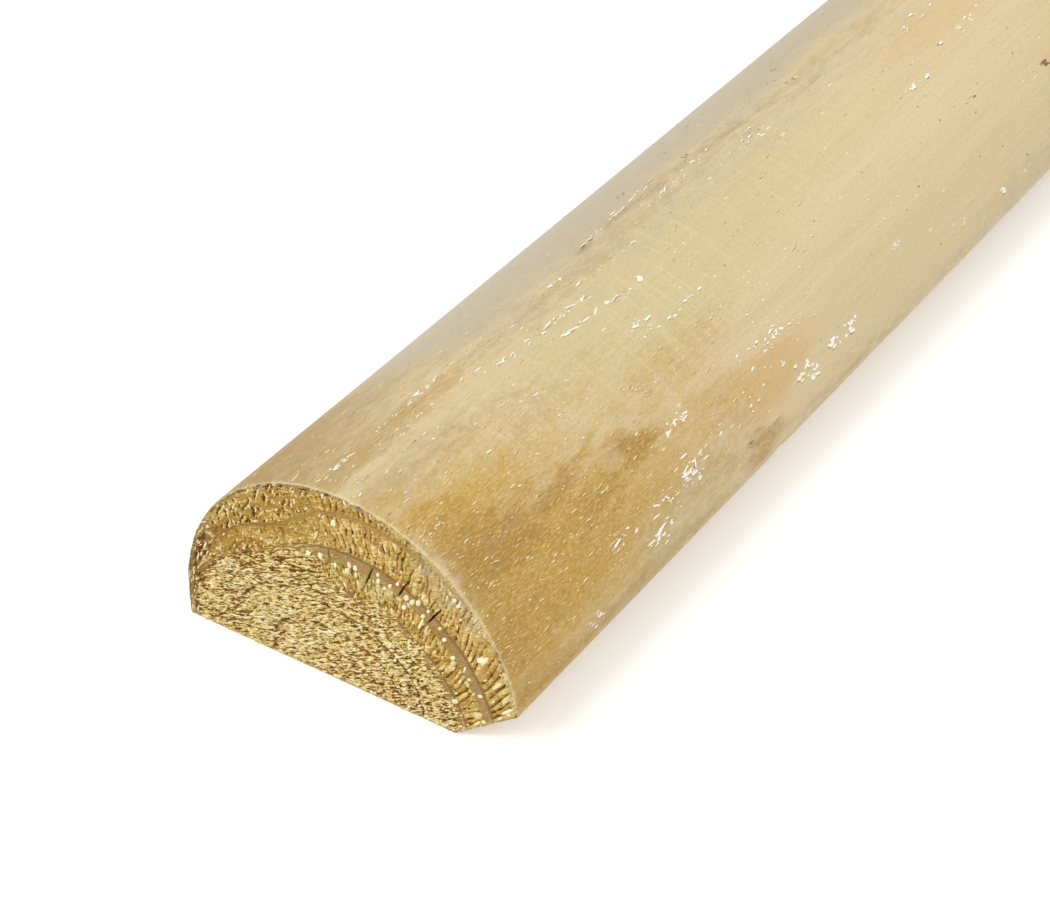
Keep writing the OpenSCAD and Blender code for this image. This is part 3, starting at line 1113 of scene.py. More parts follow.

# %% [markdown]
# The finishes share a few effects, so each effect is one shader group that every material sets to its own
# scale: streaks that follow the grain, scattered specks, ragged edges for stains and for the painted
# highlight on the worn arrises, and the growth rings. A group gives only masks. The Principled shader, with
# all of its fixed values, stays in the material itself.

# %% Shader groups
# The rings' ramps run from the pith to this many millimetres
FIELD_REACH = 60.0


def shader_group(name, inputs, outputs):
    """An empty shader group. An input without a default is a vector. Returns the group and its ends."""
    tree = bpy.data.node_groups.new(name, "ShaderNodeTree")
    for label, default in inputs.items():
        kind = "NodeSocketVector" if default is None else "NodeSocketFloat"
        socket = tree.interface.new_socket(name=label, in_out="INPUT", socket_type=kind)
        if default is not None:
            socket.default_value = default
    for label in outputs:
        tree.interface.new_socket(name=label, in_out="OUTPUT", socket_type="NodeSocketFloat")
    return tree, put(tree, "NodeGroupInput").outputs, put(tree, "NodeGroupOutput").inputs


def stretched(tree, given):
    """The place with its own number of cells for each metre across and along the grain."""
    cells = put(tree, "ShaderNodeCombineXYZ", X=given["Across"], Y=given["Along"], Z=given["Across"])
    return vector(tree, "MULTIPLY", given["Place"], cells.outputs[0])


def contrast(tree, value, strength):
    """Pushes a value away from one half and keeps it within 0 and 1."""
    pushed = times(tree, minus(tree, value, 0.5), strength)
    return plus(tree, pushed, 0.5, clamp=True)


def grain_group():
    """Streaks of noise along the grain."""
    inputs = {"Place": None, "Across": 300.0, "Along": 10.0, "Contrast": 2.0}
    tree, given, out = shader_group("pine_grain", inputs, ["Streak"])
    cloud = put(tree, "ShaderNodeTexNoise", Vector=stretched(tree, given), Scale=1.0, Detail=3.0,
                Roughness=0.62)
    tree.links.new(contrast(tree, cloud.outputs[0], given["Contrast"]), out["Streak"])
    return tree


def speck_group():
    """Small soft specks: a share of the cells holds one each."""
    inputs = {"Place": None, "Across": 200.0, "Along": 120.0, "Share": 0.1, "Radius": 0.3}
    tree, given, out = shader_group("specks", inputs, ["Mask"])
    cells = put(tree, "ShaderNodeTexVoronoi", Vector=stretched(tree, given), Scale=1.0)
    draw = put(tree, "ShaderNodeSeparateXYZ", Vector=cells.outputs["Color"])
    chosen = sums(tree, "LESS_THAN", draw.outputs[0], given["Share"])
    reach = times(tree, given["Radius"], plus(tree, draw.outputs[1], 0.3))
    inside = minus(tree, 1.0, sums(tree, "DIVIDE", cells.outputs["Distance"], reach), clamp=True)
    inside = times(tree, inside, 2.5, clamp=True)
    tree.links.new(times(tree, chosen, inside), out["Mask"])
    return tree


def ragged_group():
    """A mask whose soft edge is broken up by noise."""
    inputs = {"Place": None, "Mask": 0.0, "Across": 200.0, "Along": 60.0, "Ragged": 0.5, "Contrast": 2.0}
    tree, given, out = shader_group("ragged_edge", inputs, ["Mask"])
    cloud = put(tree, "ShaderNodeTexNoise", Vector=stretched(tree, given), Scale=1.0, Detail=5.0,
                Roughness=0.6)
    shift = times(tree, minus(tree, cloud.outputs[0], 0.5), given["Ragged"])
    # The shift only counts where the mask has begun, so nothing shows far from a stain
    begun = times(tree, given["Mask"], 5.0, clamp=True)
    moved = plus(tree, given["Mask"], times(tree, shift, begun))
    tree.links.new(contrast(tree, moved, given["Contrast"]), out["Mask"])
    return tree


def ring_group():
    """The rings' dark bands, and the thin line at each one's outer edge."""
    tree, given, out = shader_group("growth_rings", {"Grow": 0.0}, ["Late", "Line"])
    share = sums(tree, "DIVIDE", given["Grow"], FIELD_REACH)
    late, line = [(0.0, 0.0)], [(0.0, 0.0)]
    for edge, width in RINGS:
        late += [(edge - width - 0.5, 0.0), (edge - width + 0.1, 0.85), (edge, 1.0), (edge + 0.15, 0.0)]
        line += [(edge - 0.8, 0.0), (edge - 0.15, 1.0), (edge + 0.25, 0.0)]
    for label, stops in (("Late", late), ("Line", line)):
        tree.links.new(ramp(tree, share, [(at / FIELD_REACH, level) for at, level in stops]), out[label])
    return tree


GRAIN, SPECKS, RAGGED, RINGED = grain_group(), speck_group(), ragged_group(), ring_group()
print("shader groups:", [group.name for group in (GRAIN, SPECKS, RAGGED, RINGED)])

# %% Helpers for the materials
def use(tree, group, **inputs):
    """Places a shader group with its own values and returns its first result."""
    return put(tree, "ShaderNodeGroup", {"node_tree": group}, **inputs).outputs[0]


def mask(tree, name):
    """A number that rides on the mesh."""
    return put(tree, "ShaderNodeAttribute", {"attribute_name": name}).outputs["Fac"]


def start_material(name):
    """An emptied material's tree and the piece's own place in metres."""
    material = materials[name]
    material.use_nodes = True
    material.node_tree.nodes.clear()
    return material.node_tree, put(material.node_tree, "ShaderNodeTexCoord").outputs["Object"]


def finish_material(tree, colour, roughness, height, depth, **fixed):
    """Bump, the Principled shader with its fixed values, and the output."""
    bump = put(tree, "ShaderNodeBump", Height=height, Distance=depth, Strength=1.0)
    surface = put(tree, "ShaderNodeBsdfPrincipled", Base_Color=colour, Roughness=roughness,
                  Normal=bump.outputs[0], **fixed)
    put(tree, "ShaderNodeOutputMaterial", Surface=surface.outputs[0])


def coats(tree, colour, layers):
    """Lays tones over a colour, one after another: a mask or its name, a strength, and the tone."""
    for where, strength, shade in layers:
        where = mask(tree, where) if isinstance(where, str) else where
        amount = where if strength == 1 else times(tree, where, strength)
        colour = mixed(tree, amount, colour, tone(*shade))
    return colour


def grey(value):
    """A grey for a mix of roughness values."""
    return (value, value, value, 1)


print("finishes to make:", len(materials))

# %% [markdown]
# The round face is a calm surface with many thin layers on it. The colour starts as pale sapwood
# and each stain lies over the one before. Fine fibre flecks, light and dark, are strong where the
# gold stain shows rough wood and almost gone under the grey film, which is also smoother, so it
# catches the light at a low angle.

# %% Material: round face
def round_face():
    """Sapwood, stains in layers, fibre flecks, cutter marks, specks and a painted highlight along the
    arrises.
    """
    tree, place = start_material("round_face")
    broad = use(tree, GRAIN, Place=place, Across=150.0, Along=4.0, Contrast=2.0)
    streak = use(tree, GRAIN, Place=place, Across=700.0, Along=22.0, Contrast=2.6)
    fuzz = use(tree, GRAIN, Place=place, Across=1700.0, Along=420.0, Contrast=3.2)
    dashes = use(tree, GRAIN, Place=place, Across=3000.0, Along=620.0, Contrast=4.5)
    chatter = use(tree, GRAIN, Place=place, Across=34.0, Along=420.0, Contrast=5.0)
    dark_specks = use(tree, SPECKS, Place=place, Across=500.0, Along=260.0, Share=0.03, Radius=0.22)
    pale_specks = use(tree, SPECKS, Place=place, Across=600.0, Along=220.0, Share=0.04, Radius=0.26)
    # A painted highlight along the worn arrises
    edge = use(tree, RAGGED, Place=place, Mask=mask(tree, "arris"), Across=800.0, Along=500.0,
               Ragged=1.4, Contrast=2.5)
    colour = mixed(tree, broad, tone(224, 205, 166), tone(217, 197, 156))
    # The stains in the order in which they lie: how ragged, contrast, strength and tone
    for kind, ragged, push, strength, shade in (
            ("green", 0.5, 1.5, 1, (211, 195, 151)), ("blush", 0.6, 1.5, 0.8, (216, 182, 126)),
            ("tan", 1.1, 1.5, 1, (185, 161, 118)), ("gold", 0.9, 1.4, 1, (204, 165, 87)),
            ("brown", 1.4, 1.6, 1, (180, 139, 68)), ("film", 0.9, 1.6, 0.85, (190, 179, 156))):
        stain = use(tree, RAGGED, Place=place, Mask=mask(tree, kind), Across=480.0, Along=150.0,
                    Ragged=ragged, Contrast=push)
        colour = coats(tree, colour, [(stain, strength, shade)])
    film = stain
    rough = larger(tree, larger(tree, mask(tree, "gold"), mask(tree, "brown")), mask(tree, "torn"))
    rough = plus(tree, times(tree, rough, 0.7), 0.3, clamp=True)
    streaked = times(tree, streak, plus(tree, times(tree, rough, 0.16), 0.12))
    light = times(tree, ramp(tree, dashes, [(0.72, 0.0), (0.98, 1.0)]), rough)
    dark = times(tree, ramp(tree, dashes, [(0.02, 1.0), (0.26, 0.0)]), rough)
    lines = times(tree, ramp(tree, chatter, [(0.75, 0.0), (1.0, 1.0)]), mask(tree, "green"))
    colour = coats(tree, colour, [
        (streaked, 1, (188, 158, 98)), (light, 0.36, (240, 220, 158)), (dark, 0.36, (140, 102, 42)),
        (lines, 0.13, (238, 228, 188)), ("torn", 1.1, (182, 155, 116)),
        (dark_specks, 0.6, (140, 106, 58)), (pale_specks, 0.6, (246, 236, 196)),
        (edge, 0.22, (230, 212, 168)), ("whitened", 0.8, (222, 206, 168))])
    gloss = mixed(tree, film, mixed(tree, rough, grey(0.55), grey(0.78)), grey(0.44))
    height = times(tree, plus(tree, fuzz, dashes), times(tree, rough, 0.45))
    height = plus(tree, height, times(tree, streak, 0.35))
    height = plus(tree, height, times(tree, chatter, 0.05))
    finish_material(tree, colour, gloss, height, depth=0.00022, IOR=1.45, Specular_IOR_Level=0.22)


round_face()
print("round face:", len(materials["round_face"].node_tree.nodes), "nodes")

# %% [markdown]
# The end grain takes its colour from the growth field through one ramp, so it goes from the young wood by
# the pith to the bark side in the order in which the tree laid it down. Torn tips get a painted highlight
# and hollows a brown painted shade: both come from the numbers that shaped the relief. Spots such as the
# orange patch and the whitened arris are laid over that.

# %% Material: end grain
# Tones from the pith outwards: millimetres from the pith, and the colour there
WOOD_TONES = [(0, (224, 182, 108)), (8, (226, 192, 116)), (24, (222, 190, 110)), (29, (206, 174, 94)),
              (33, (207, 164, 76)), (38, (205, 160, 70)), (43, (218, 178, 96)), (49, (212, 172, 94)),
              (52, (196, 156, 76)), (60, (194, 154, 76))]
# How strongly a ring shows, from the pith outwards
RING_STRENGTH = [(26, 0.0), (28, 0.9), (44, 0.9), (48, 0.85)]


def end_grain():
    """Rings from the growth field, a painted highlight on torn tips and painted shade in hollows from the
    relief, and spots on top.
    """
    tree, place = start_material("end_grain")
    rings = put(tree, "ShaderNodeGroup", {"node_tree": RINGED}, Grow=mask(tree, "grow")).outputs
    fine = use(tree, GRAIN, Place=place, Across=1500.0, Along=1500.0, Contrast=3.0)
    soft = use(tree, GRAIN, Place=place, Across=260.0, Along=260.0, Contrast=2.2)
    turned = put(tree, "ShaderNodeVectorRotate", {"rotation_type": "Y_AXIS"}, Vector=place, Angle=SAW_DRAG)
    narrow = vector(tree, "MULTIPLY", turned.outputs[0], (0.27, 1.0, 1.0))
    hair = use(tree, GRAIN, Place=narrow, Across=1800.0, Along=500.0, Contrast=5.0)
    # A painted highlight along the worn arris of the end
    edge = use(tree, RAGGED, Place=place, Mask=mask(tree, "arris"), Across=1100.0, Along=1100.0,
               Ragged=1.8, Contrast=3.0)
    crust = use(tree, RAGGED, Place=place, Mask=mask(tree, "dark_edge"), Across=1000.0, Along=1000.0,
                Ragged=1.6, Contrast=2.5)
    share = sums(tree, "DIVIDE", mask(tree, "grow"), FIELD_REACH)
    colour = ramp(tree, share, [(at / FIELD_REACH, tone(*shade)) for at, shade in WOOD_TONES])
    strong = ramp(tree, share, [(at / FIELD_REACH, level) for at, level in RING_STRENGTH])
    late = times(tree, times(tree, rings["Late"], strong), mask(tree, "late"))
    line = times(tree, times(tree, rings["Line"], strong), mask(tree, "late"))
    # Painted highlight on torn tips and painted shade in hollows: the relief's own values, with finer hair
    # where the wood isn't dense
    calm = minus(tree, 1.0, times(tree, late, 0.78), clamp=True)
    hair_share = plus(tree, times(tree, mask(tree, "young"), 2.2), 0.35)
    hair_share = minus(tree, hair_share, times(tree, mask(tree, "arcs"), 1.1))
    small = times(tree, minus(tree, hair, 0.5), hair_share)
    small = plus(tree, times(tree, minus(tree, fine, 0.5), 0.5), small)
    relief_light = plus(tree, mask(tree, "relief_light"), times(tree, small, calm))
    relief_light = plus(tree, relief_light, times(tree, mask(tree, "heart_pale"), 0.3))
    hollow_shade = times(tree, relief_light, -1.0)
    # Painted shade, nearly black, in the deep hollows and in the checks
    deep = ramp(tree, times(tree, mask(tree, "cavity"), 0.5), [(0.5, 0.0), (0.7, 1.0)])
    colour = coats(tree, colour, [
        (late, 1, (179, 147, 100)), (soft, 0.2, (186, 146, 70)), ("pitted", 0.7, (192, 151, 66)),
        ("orange", 0.8, (178, 122, 36)), ("greenish", 0.5, (194, 182, 96)),
        ("heart_pink", 0.6, (226, 168, 116)), ("heart_pale", 0.45, (232, 222, 172)),
        ("rim", 0.85, (156, 130, 88)), ("arcs", 0.95, (136, 99, 42)),
        # Painted highlight on the raised tips, then painted shade in the hollows
        (ramp(tree, relief_light, [(0.06, 0.0), (0.5, 0.85)]), 1, (240, 207, 126)),
        (ramp(tree, relief_light, [(0.42, 0.0), (0.85, 0.95)]), 1, (254, 238, 178)),
        (ramp(tree, hollow_shade, [(0.08, 0.0), (0.5, 0.85)]), 1, (150, 105, 38)),
        (ramp(tree, hollow_shade, [(0.5, 0.0), (1.0, 0.9)]), 1, (90, 58, 20)),
        (line, 0.85, (124, 90, 46)), ("whitened", 0.65, (222, 204, 166)), (deep, 0.92, (44, 28, 12)),
        (edge, 0.35, (232, 212, 160)), (crust, 0.5, (120, 90, 48))])
    height = plus(tree, times(tree, fine, 0.4), hair)
    finish_material(tree, colour, roughness=0.8, height=height, depth=0.0004, IOR=1.45,
                    Specular_IOR_Level=0.2)


end_grain()
print("end grain:", len(materials["end_grain"].node_tree.nodes), "nodes")

# %% [markdown]
# The two sawn faces show long grain cut by a rip saw. The rings meet these flats in long bands,
# which the growth field gives again, and the saw's teeth left slanted marks that run across.

# %% Material: sawn faces
def sawn_face():
    """Long grain with ring bands, saw marks and a painted highlight along the arrises."""
    tree, place = start_material("sawn_face")
    late = use(tree, RINGED, Grow=mask(tree, "grow"))
    streak = use(tree, GRAIN, Place=place, Across=520.0, Along=14.0, Contrast=2.4)
    fuzz = use(tree, GRAIN, Place=place, Across=1300.0, Along=260.0, Contrast=3.2)
    marks = use(tree, GRAIN, Place=place, Across=12.0, Along=420.0, Contrast=3.0)
    # A painted highlight along the worn arrises
    edge = use(tree, RAGGED, Place=place, Mask=mask(tree, "arris"), Across=700.0, Along=200.0,
               Ragged=0.9, Contrast=2.0)
    colour = mixed(tree, streak, tone(222, 196, 142), tone(206, 176, 118))
    colour = coats(tree, colour, [
        (late, 0.5, (176, 140, 84)), (marks, 0.22, (180, 150, 96)),
        (ramp(tree, fuzz, [(0.7, 0.0), (1.0, 0.5)]), 1, (240, 222, 172)), (edge, 0.3, (228, 208, 158))])
    height = plus(tree, times(tree, fuzz, 0.5), times(tree, marks, 0.7))
    finish_material(tree, colour, roughness=0.82, height=height, depth=0.0003, IOR=1.45,
                    Specular_IOR_Level=0.2)


sawn_face()
print("sawn face:", len(materials["sawn_face"].node_tree.nodes), "nodes")

# %% [markdown]
# The loose things differ from grain to grain, as real ones do: the laying trees below give each
# grain a random shade, and one ramp per finish turns it into a tone. Resin is glossy under a
# thin coat, and salt is matt and nearly white.

# %% Materials: the small loose things
def loose_finish(name, stops, roughness, depth, **fixed):
    """A finish whose tone differs from grain to grain, with a fine mottle."""
    tree, place = start_material(name)
    mottle = use(tree, GRAIN, Place=place, Across=1800.0, Along=1800.0, Contrast=2.5)
    colour = ramp(tree, mask(tree, "shade"), [(at, tone(*shade)) for at, shade in stops])
    colour = coats(tree, colour, [(mottle, 0.25, stops[0][1])])
    finish_material(tree, colour, roughness, mottle, depth, **fixed)


loose_finish("loose_fibre", [(0, (88, 54, 16)), (0.3, (176, 130, 50)), (0.56, (232, 198, 110)),
                             (0.75, (254, 234, 156)), (1, (255, 250, 216))],
             roughness=0.75, depth=0.0001, IOR=1.45, Specular_IOR_Level=0.35)
loose_finish("resin", [(0, (222, 206, 150)), (1, (246, 240, 208))],
             roughness=0.25, depth=0.00003, IOR=1.5, Specular_IOR_Level=0.6, Coat_Weight=0.4,
             Coat_Roughness=0.15)
loose_finish("salt", [(0, (252, 244, 218)), (0.4, (255, 252, 240)), (1, (255, 255, 252))],
             roughness=0.7, depth=0.00004, IOR=1.5, Specular_IOR_Level=0.4)
loose_finish("cream_sliver", [(0, (220, 194, 124)), (0.5, (242, 222, 160)), (1, (254, 246, 212))],
             roughness=0.7, depth=0.00005, IOR=1.45, Specular_IOR_Level=0.3)
# This brown is for the real dark specks and for the painted shadows beside the flecks
loose_finish("dark_speck", [(0, (112, 84, 48)), (1, (160, 128, 82))],
             roughness=0.7, depth=0.0001, IOR=1.45, Specular_IOR_Level=0.3)
print("materials:", ", ".join(materials))

# %% [markdown]
# Loose things repeat by the hundred, so Geometry Nodes lay them. One tree scatters grains over a
# surface, as dense as the fuzz attribute says. A second lays one grain on each point that it is
# given, for beads and flecks whose places are known. In both, a grain is a small ball, from 20 to
# 320 faces, that is stretched, turned along the fibre, realized and then roughened.

# %% Geometry Nodes: grains
# Noise cells for each metre, how far a grain's lie strays, and the range of its size
GRAIN_CELLS = 1400.0
STRAY = 0.24
SMALLEST, LARGEST = 0.45, 1.5


def number(tree, name, kind="FLOAT"):
    """A named attribute inside a Geometry Nodes tree."""
    return put(tree, "GeometryNodeInputNamedAttribute", {"data_type": kind}, Name=name).outputs[0]


def lay_grains(tree, given, points, lie, outward, size):
    """Ends a tree with an irregular grain on every point, its length along lie."""
    turned = put(tree, "FunctionNodeAlignRotationToVector", {"axis": "X"}, Vector=lie)
    level = put(tree, "FunctionNodeAlignRotationToVector", {"axis": "Z", "pivot_axis": "X"},
                Rotation=turned.outputs[0], Vector=outward)
    ball = put(tree, "GeometryNodeMeshIcoSphere", Radius=1.0, Subdivisions=given["Facets"])
    laid = put(tree, "GeometryNodeInstanceOnPoints", Points=points, Instance=ball.outputs[0],
               Rotation=level.outputs[0], Scale=size)
    draw = put(tree, "FunctionNodeRandomValue", {"data_type": "FLOAT"}, Seed=given["Seed"])
    shaded = put(tree, "GeometryNodeStoreNamedAttribute", {"data_type": "FLOAT", "domain": "INSTANCE"},
                 Geometry=laid.outputs[0], Name="shade", Value=draw.outputs[1])
    end_tree(tree, shaded.outputs[0], given["Material"], given["Roughen"])


def scatter_tree():
    """Grains over a surface, as dense as its fuzz attribute, with the size and lie that it names."""
    tree, given = node_tree("scatter_grains", Geometry="Geometry", Density="Float", Lift="Float",
                            Facets="Int", Roughen="Float", Seed="Int", Material="Material")
    density = times(tree, given["Density"], number(tree, "fuzz"))
    spread = put(tree, "GeometryNodeDistributePointsOnFaces", {"distribute_method": "RANDOM"},
                 Mesh=given["Geometry"], Density=density, Seed=given["Seed"])
    jitter = put(tree, "FunctionNodeRandomValue", {"data_type": "FLOAT_VECTOR"}, Seed=given["Seed"],
                 a=(-STRAY, -STRAY, -STRAY), b=(STRAY, STRAY, STRAY))
    growth_draw = put(tree, "FunctionNodeRandomValue", {"data_type": "FLOAT"}, Seed=given["Seed"],
                      c=SMALLEST, d=LARGEST)
    lifted = vector(tree, "SCALE", spread.outputs["Normal"], given["Lift"])
    lie = vector(tree, "ADD", number(tree, "lie", "FLOAT_VECTOR"), lifted)
    lie = vector(tree, "ADD", lie, jitter.outputs[0])
    size = vector(tree, "SCALE", number(tree, "size", "FLOAT_VECTOR"), growth_draw.outputs[1])
    lay_grains(tree, given, spread.outputs["Points"], lie, spread.outputs["Normal"], size)
    return tree


def lay_tree():
    """One grain on each given point, with the point's own size, lie and outward direction."""
    tree, given = node_tree("lay_grains", Geometry="Geometry", Facets="Int", Roughen="Float", Seed="Int",
                            Material="Material")
    points = put(tree, "GeometryNodeMeshToPoints", Mesh=given["Geometry"])
    wanted = [number(tree, name, "FLOAT_VECTOR") for name in ("lie", "outward", "size")]
    lay_grains(tree, given, points.outputs[0], *wanted)
    return tree


SCATTER, LAY = scatter_tree(), lay_tree()
print("trees:", SCATTER.name, LAY.name)

# %% [markdown]
# The saw left thousands of fibres standing on the end, too fine for the mesh itself. They are
# grains laid by the scattering tree, dense in the young wood, leaning as the saw dragged them,
# and rare on the smooth dark bands. A few stand on the rough gold wood and along the arris.

# %% Torn fibres over the ends, the gold wood and the arrises
FIBRES_PER_M2 = 2600000.0
# Half length, half width and half thickness in millimetres
YOUNG_SIZE, STUBBY_SIZE, TOOTH_SIZE = (1.3, 0.15, 0.12), (0.6, 0.19, 0.15), (1.2, 0.24, 0.2)
PIT_SIZE, RIM_SIZE, SIDE_SIZE = (0.65, 0.2, 0.15), (0.6, 0.17, 0.12), (0.75, 0.08, 0.06)
FAR_SHARE = 0.25


def blend_rows(amount, one, other):
    """One row of values where the amount is 0, the other where it is 1."""
    return np.array(one) * (1 - amount[:, None]) + np.array(other) * amount[:, None]


def end_fibres(found, x):
    """Density, size and lie of the fibres on an end face."""
    turn, rim, pitted = found["turn"], found["rim"], found["pitted"]
    fuzz = 0.42 * found["young"] * (1 - found["arcs"] ** 0.5) + 0.3 * rim + 0.12 * pitted + 0.05
    fuzz = fuzz * (1 - 0.95 * found["band"])
    tilt = turn + 0.12 + 0.38 * leaning_right(turn)
    tilt = tilt + (math.radians(60) - tilt) * pitted
    upright = np.maximum(found["toothed"], pitted)
    young_size = blend_rows(step_up(-4, 14, x), YOUNG_SIZE, STUBBY_SIZE)
    size = blend_rows(pitted, blend_rows(upright, young_size, TOOTH_SIZE), PIT_SIZE)
    dragged = np.column_stack([np.cos(found["lean"]), 0 * x - 0.1, np.sin(found["lean"])])
    radial = np.column_stack([np.cos(tilt), 0 * x - 0.2, np.sin(tilt)])
    round_about = np.column_stack([-np.sin(turn), 0 * x, np.cos(turn)])
    lie = blend_rows(rim, blend_rows(upright, dragged, radial), round_about)
    return fuzz, blend_rows(rim, size, RIM_SIZE), lie


side_count, side_along = row_count * COLUMNS, along.ravel()
clumps = step_up(-0.1, 0.7, noise(side_along / 5, turns.ravel() / 3, 83))
rough_side = 0.05 * (masks["gold"][:side_count] + masks["brown"][:side_count]) * clumps
rough_side = rough_side + 0.12 * masks["torn"][:side_count]
rough_side = rough_side * step_up(SEEN_LENGTH + 60, SEEN_LENGTH - 60, side_along)
rough_side = rough_side + 0.35 * near_line(side_along, 1.0)
near_fibres, far_fibres = end_fibres(near_masks, near_x), end_fibres(far_masks, far_x)
near_fibres[0][len(near_fill):] = 0
far_fibres = (FAR_SHARE * far_fibres[0], *far_fibres[1:])
side_fibres = (rough_side, np.tile(SIDE_SIZE, (side_count, 1)), np.tile((0.0, 1.0, 0.0), (side_count, 1)))
fuzz, size, lie = (np.concatenate(parts) for parts in zip(side_fibres, near_fibres, far_fibres))
for name, values in (("fuzz", fuzz), ("size", size * MM), ("lie", lie)):
    write_attribute(post_mesh, name, values)
fibres = run_tree(SCATTER, "torn_fibres", post_mesh, Density=FIBRES_PER_M2, Lift=0.12, Facets=1,
                  Roughen=0.00012, Seed=5, Material=materials["loose_fibre"])
print("torn fibres:", len(fibres.data.polygons) // 20)

# %% [markdown]
# The flecks on the round face are dried preservative salt: white, a millimetre or two long, in clusters,
# and in lines where they filled the torn grain. The clusters by the near end are set where the photograph
# has them, and a fixed seed fills in each cluster. Dark specks of resin and dirt are laid in the same way.
# Thin brown edges along the lower side of the flecks and slivers are painted shadows, laid in the same way.

# %% Places of flecks and specks on the round face
# mm along, degrees round, spread along in mm, spread round in degrees, count, size in mm
SALT_CLUSTERS = [(6, 64, 3, 1.8, 22, 0.17), (55, 25, 3, 1.2, 5, 0.55), (68, 17, 3, 1.6, 9, 0.6),
                 (88, 26, 4, 2.0, 14, 0.65), (91, 39.6, 4, 0.6, 6, 0.55), (38, 12, 3, 1.4, 5, 0.5),
                 (131, 40, 5, 1.0, 7, 0.5), (143, 38.5, 3, 0.8, 5, 0.55), (136, 36, 8, 1.5, 8, 0.45),
                 (146, 21, 3, 2.2, 12, 0.65), (161, 22, 1.5, 0.8, 6, 0.65), (171, 21.5, 2, 1.0, 7, 0.65),
                 (78, 23, 6, 3, 12, 0.4), (126, 29, 14, 3, 8, 0.4), (119, 79.2, 0.6, 0.2, 2, 0.85),
                 (105, 69.5, 2.5, 0.8, 7, 0.5), (106, 66, 2, 1, 4, 0.35), (124, 64, 7, 0.5, 7, 0.4),
                 (140, 78, 3, 0.3, 3, 0.4), (256, 66, 3, 0.5, 5, 0.6), (294, 71, 5, 0.6, 6, 0.6),
                 (290, 85, 8, 1.2, 9, 0.5), (204, 31, 1, 0.5, 3, 0.55), (241, 19, 1, 0.5, 3, 0.5),
                 (267, 16, 1, 0.6, 4, 0.55), (195, 92, 8, 1.5, 9, 0.4), (236, 88, 2, 1, 3, 0.4),
                 (104, 99, 1.5, 0.3, 3, 0.7), (84, 96, 5, 2, 6, 0.35), (178, 101, 6, 1.2, 7, 0.45),
                 (20, 88, 14, 4, 10, 0.3), (40, 70, 20, 8, 12, 0.28), (160, 55, 60, 12, 22, 0.25),
                 (60, 60, 30, 6, 12, 0.28), (250, 50, 60, 20, 18, 0.25)]
SPECK_CLUSTERS = [(155, 112, 2, 0.6, 4, 0.55), (179, 105, 1.5, 1.2, 8, 0.5), (184, 115, 3, 1.5, 5, 0.35),
                  (16, 122, 0.6, 0.3, 1, 0.6), (210, 121, 1, 0.4, 1, 0.6), (240, 112, 1, 0.5, 2, 0.45),
                  (234, 100, 1, 0.4, 3, 0.4), (272, 92, 1, 0.8, 2, 0.5), (210, 57, 1.4, 0.4, 3, 0.4),
                  (181, 55, 0.5, 0.3, 1, 0.4), (252, 51, 1, 0.5, 2, 0.45), (270, 50, 2, 1, 6, 0.4),
                  (302, 51, 3, 1, 5, 0.45), (314, 40, 1.5, 0.8, 6, 0.8), (226, 19, 0.4, 0.2, 1, 0.6),
                  (268, 45, 1, 0.5, 2, 0.4), (194, 57.5, 2, 0.5, 2, 0.3), (200, 110, 20, 4, 10, 0.35),
                  (290, 60, 40, 14, 16, 0.3), (118, 17, 2, 0.8, 5, 0.4), (150, 30, 60, 14, 10, 0.28)]
# Start and end along, start and end in degrees, count, length in mm: flecks that filled a tear
SALT_LINES = [(3, 58, 99, 101, 26, 1.5), (66, 104, 88.5, 87, 26, 1.5), (80, 112, 82, 80.4, 12, 2.2),
              (104, 122, 79.6, 78.6, 4, 1.4), (125, 165, 104, 107.5, 24, 1.6),
              (150, 180, 100, 98, 14, 1.2), (20, 70, 94, 92, 12, 1.0), (100, 140, 92, 90, 10, 1.0),
              (84, 97, 41, 38.6, 4, 1.6), (420, 560, 60, 64, 22, 1.4), (700, 880, 110, 104, 26, 1.4),
              (1240, 1420, 84, 78, 24, 1.4)]
FAR_CLUSTERS = 90
SALT_SHARE = 1.6
# The flecks by the end are drawn out along the grain, those further up are broader
NEAR_PART, LONG_STRETCH, SHORT_STRETCH, BROADER = 115, 4.6, 2.4, 1.3
LONGEST, FLECK_WIDTH = 2.4, 0.72
LUMP_SIZE = 0.5

rng = np.random.default_rng(73)
lumps = []
spot_places = {"salt": [], "dark_speck": []}
for name, clusters in (("salt", SALT_CLUSTERS), ("dark_speck", SPECK_CLUSTERS)):
    far_clusters = [(rng.uniform(SEEN_LENGTH, LENGTH - 10), rng.uniform(10, 170), rng.uniform(1, 9),
                     rng.uniform(0.5, 3), int(rng.uniform(2, 9)), rng.uniform(0.3, 0.65))
                    for _ in range(FAR_CLUSTERS)]
    for at, turn, long_spread, turn_spread, count, size in clusters + far_clusters:
        for _ in range(int(count * SALT_SHARE) if name == "salt" else count):
            span = size * (0.35 + 0.65 * rng.uniform(0, 1) ** 2) * (BROADER if at > NEAR_PART else 1.0)
            stretch = rng.uniform(1.0, LONG_STRETCH if name == "salt" and at < NEAR_PART else SHORT_STRETCH)
            spot_places[name].append((at + rng.normal(0, long_spread), turn + rng.normal(0, turn_spread),
                                      min(span * stretch, LONGEST), span * FLECK_WIDTH))
        if name == "salt" and size > LUMP_SIZE:
            lumps += [(at + rng.normal(0, long_spread), turn + rng.normal(0, turn_spread),
                       size * rng.uniform(0.9, 1.6), size * rng.uniform(0.5, 0.9))
                      for _ in range(1 + count // 5)]
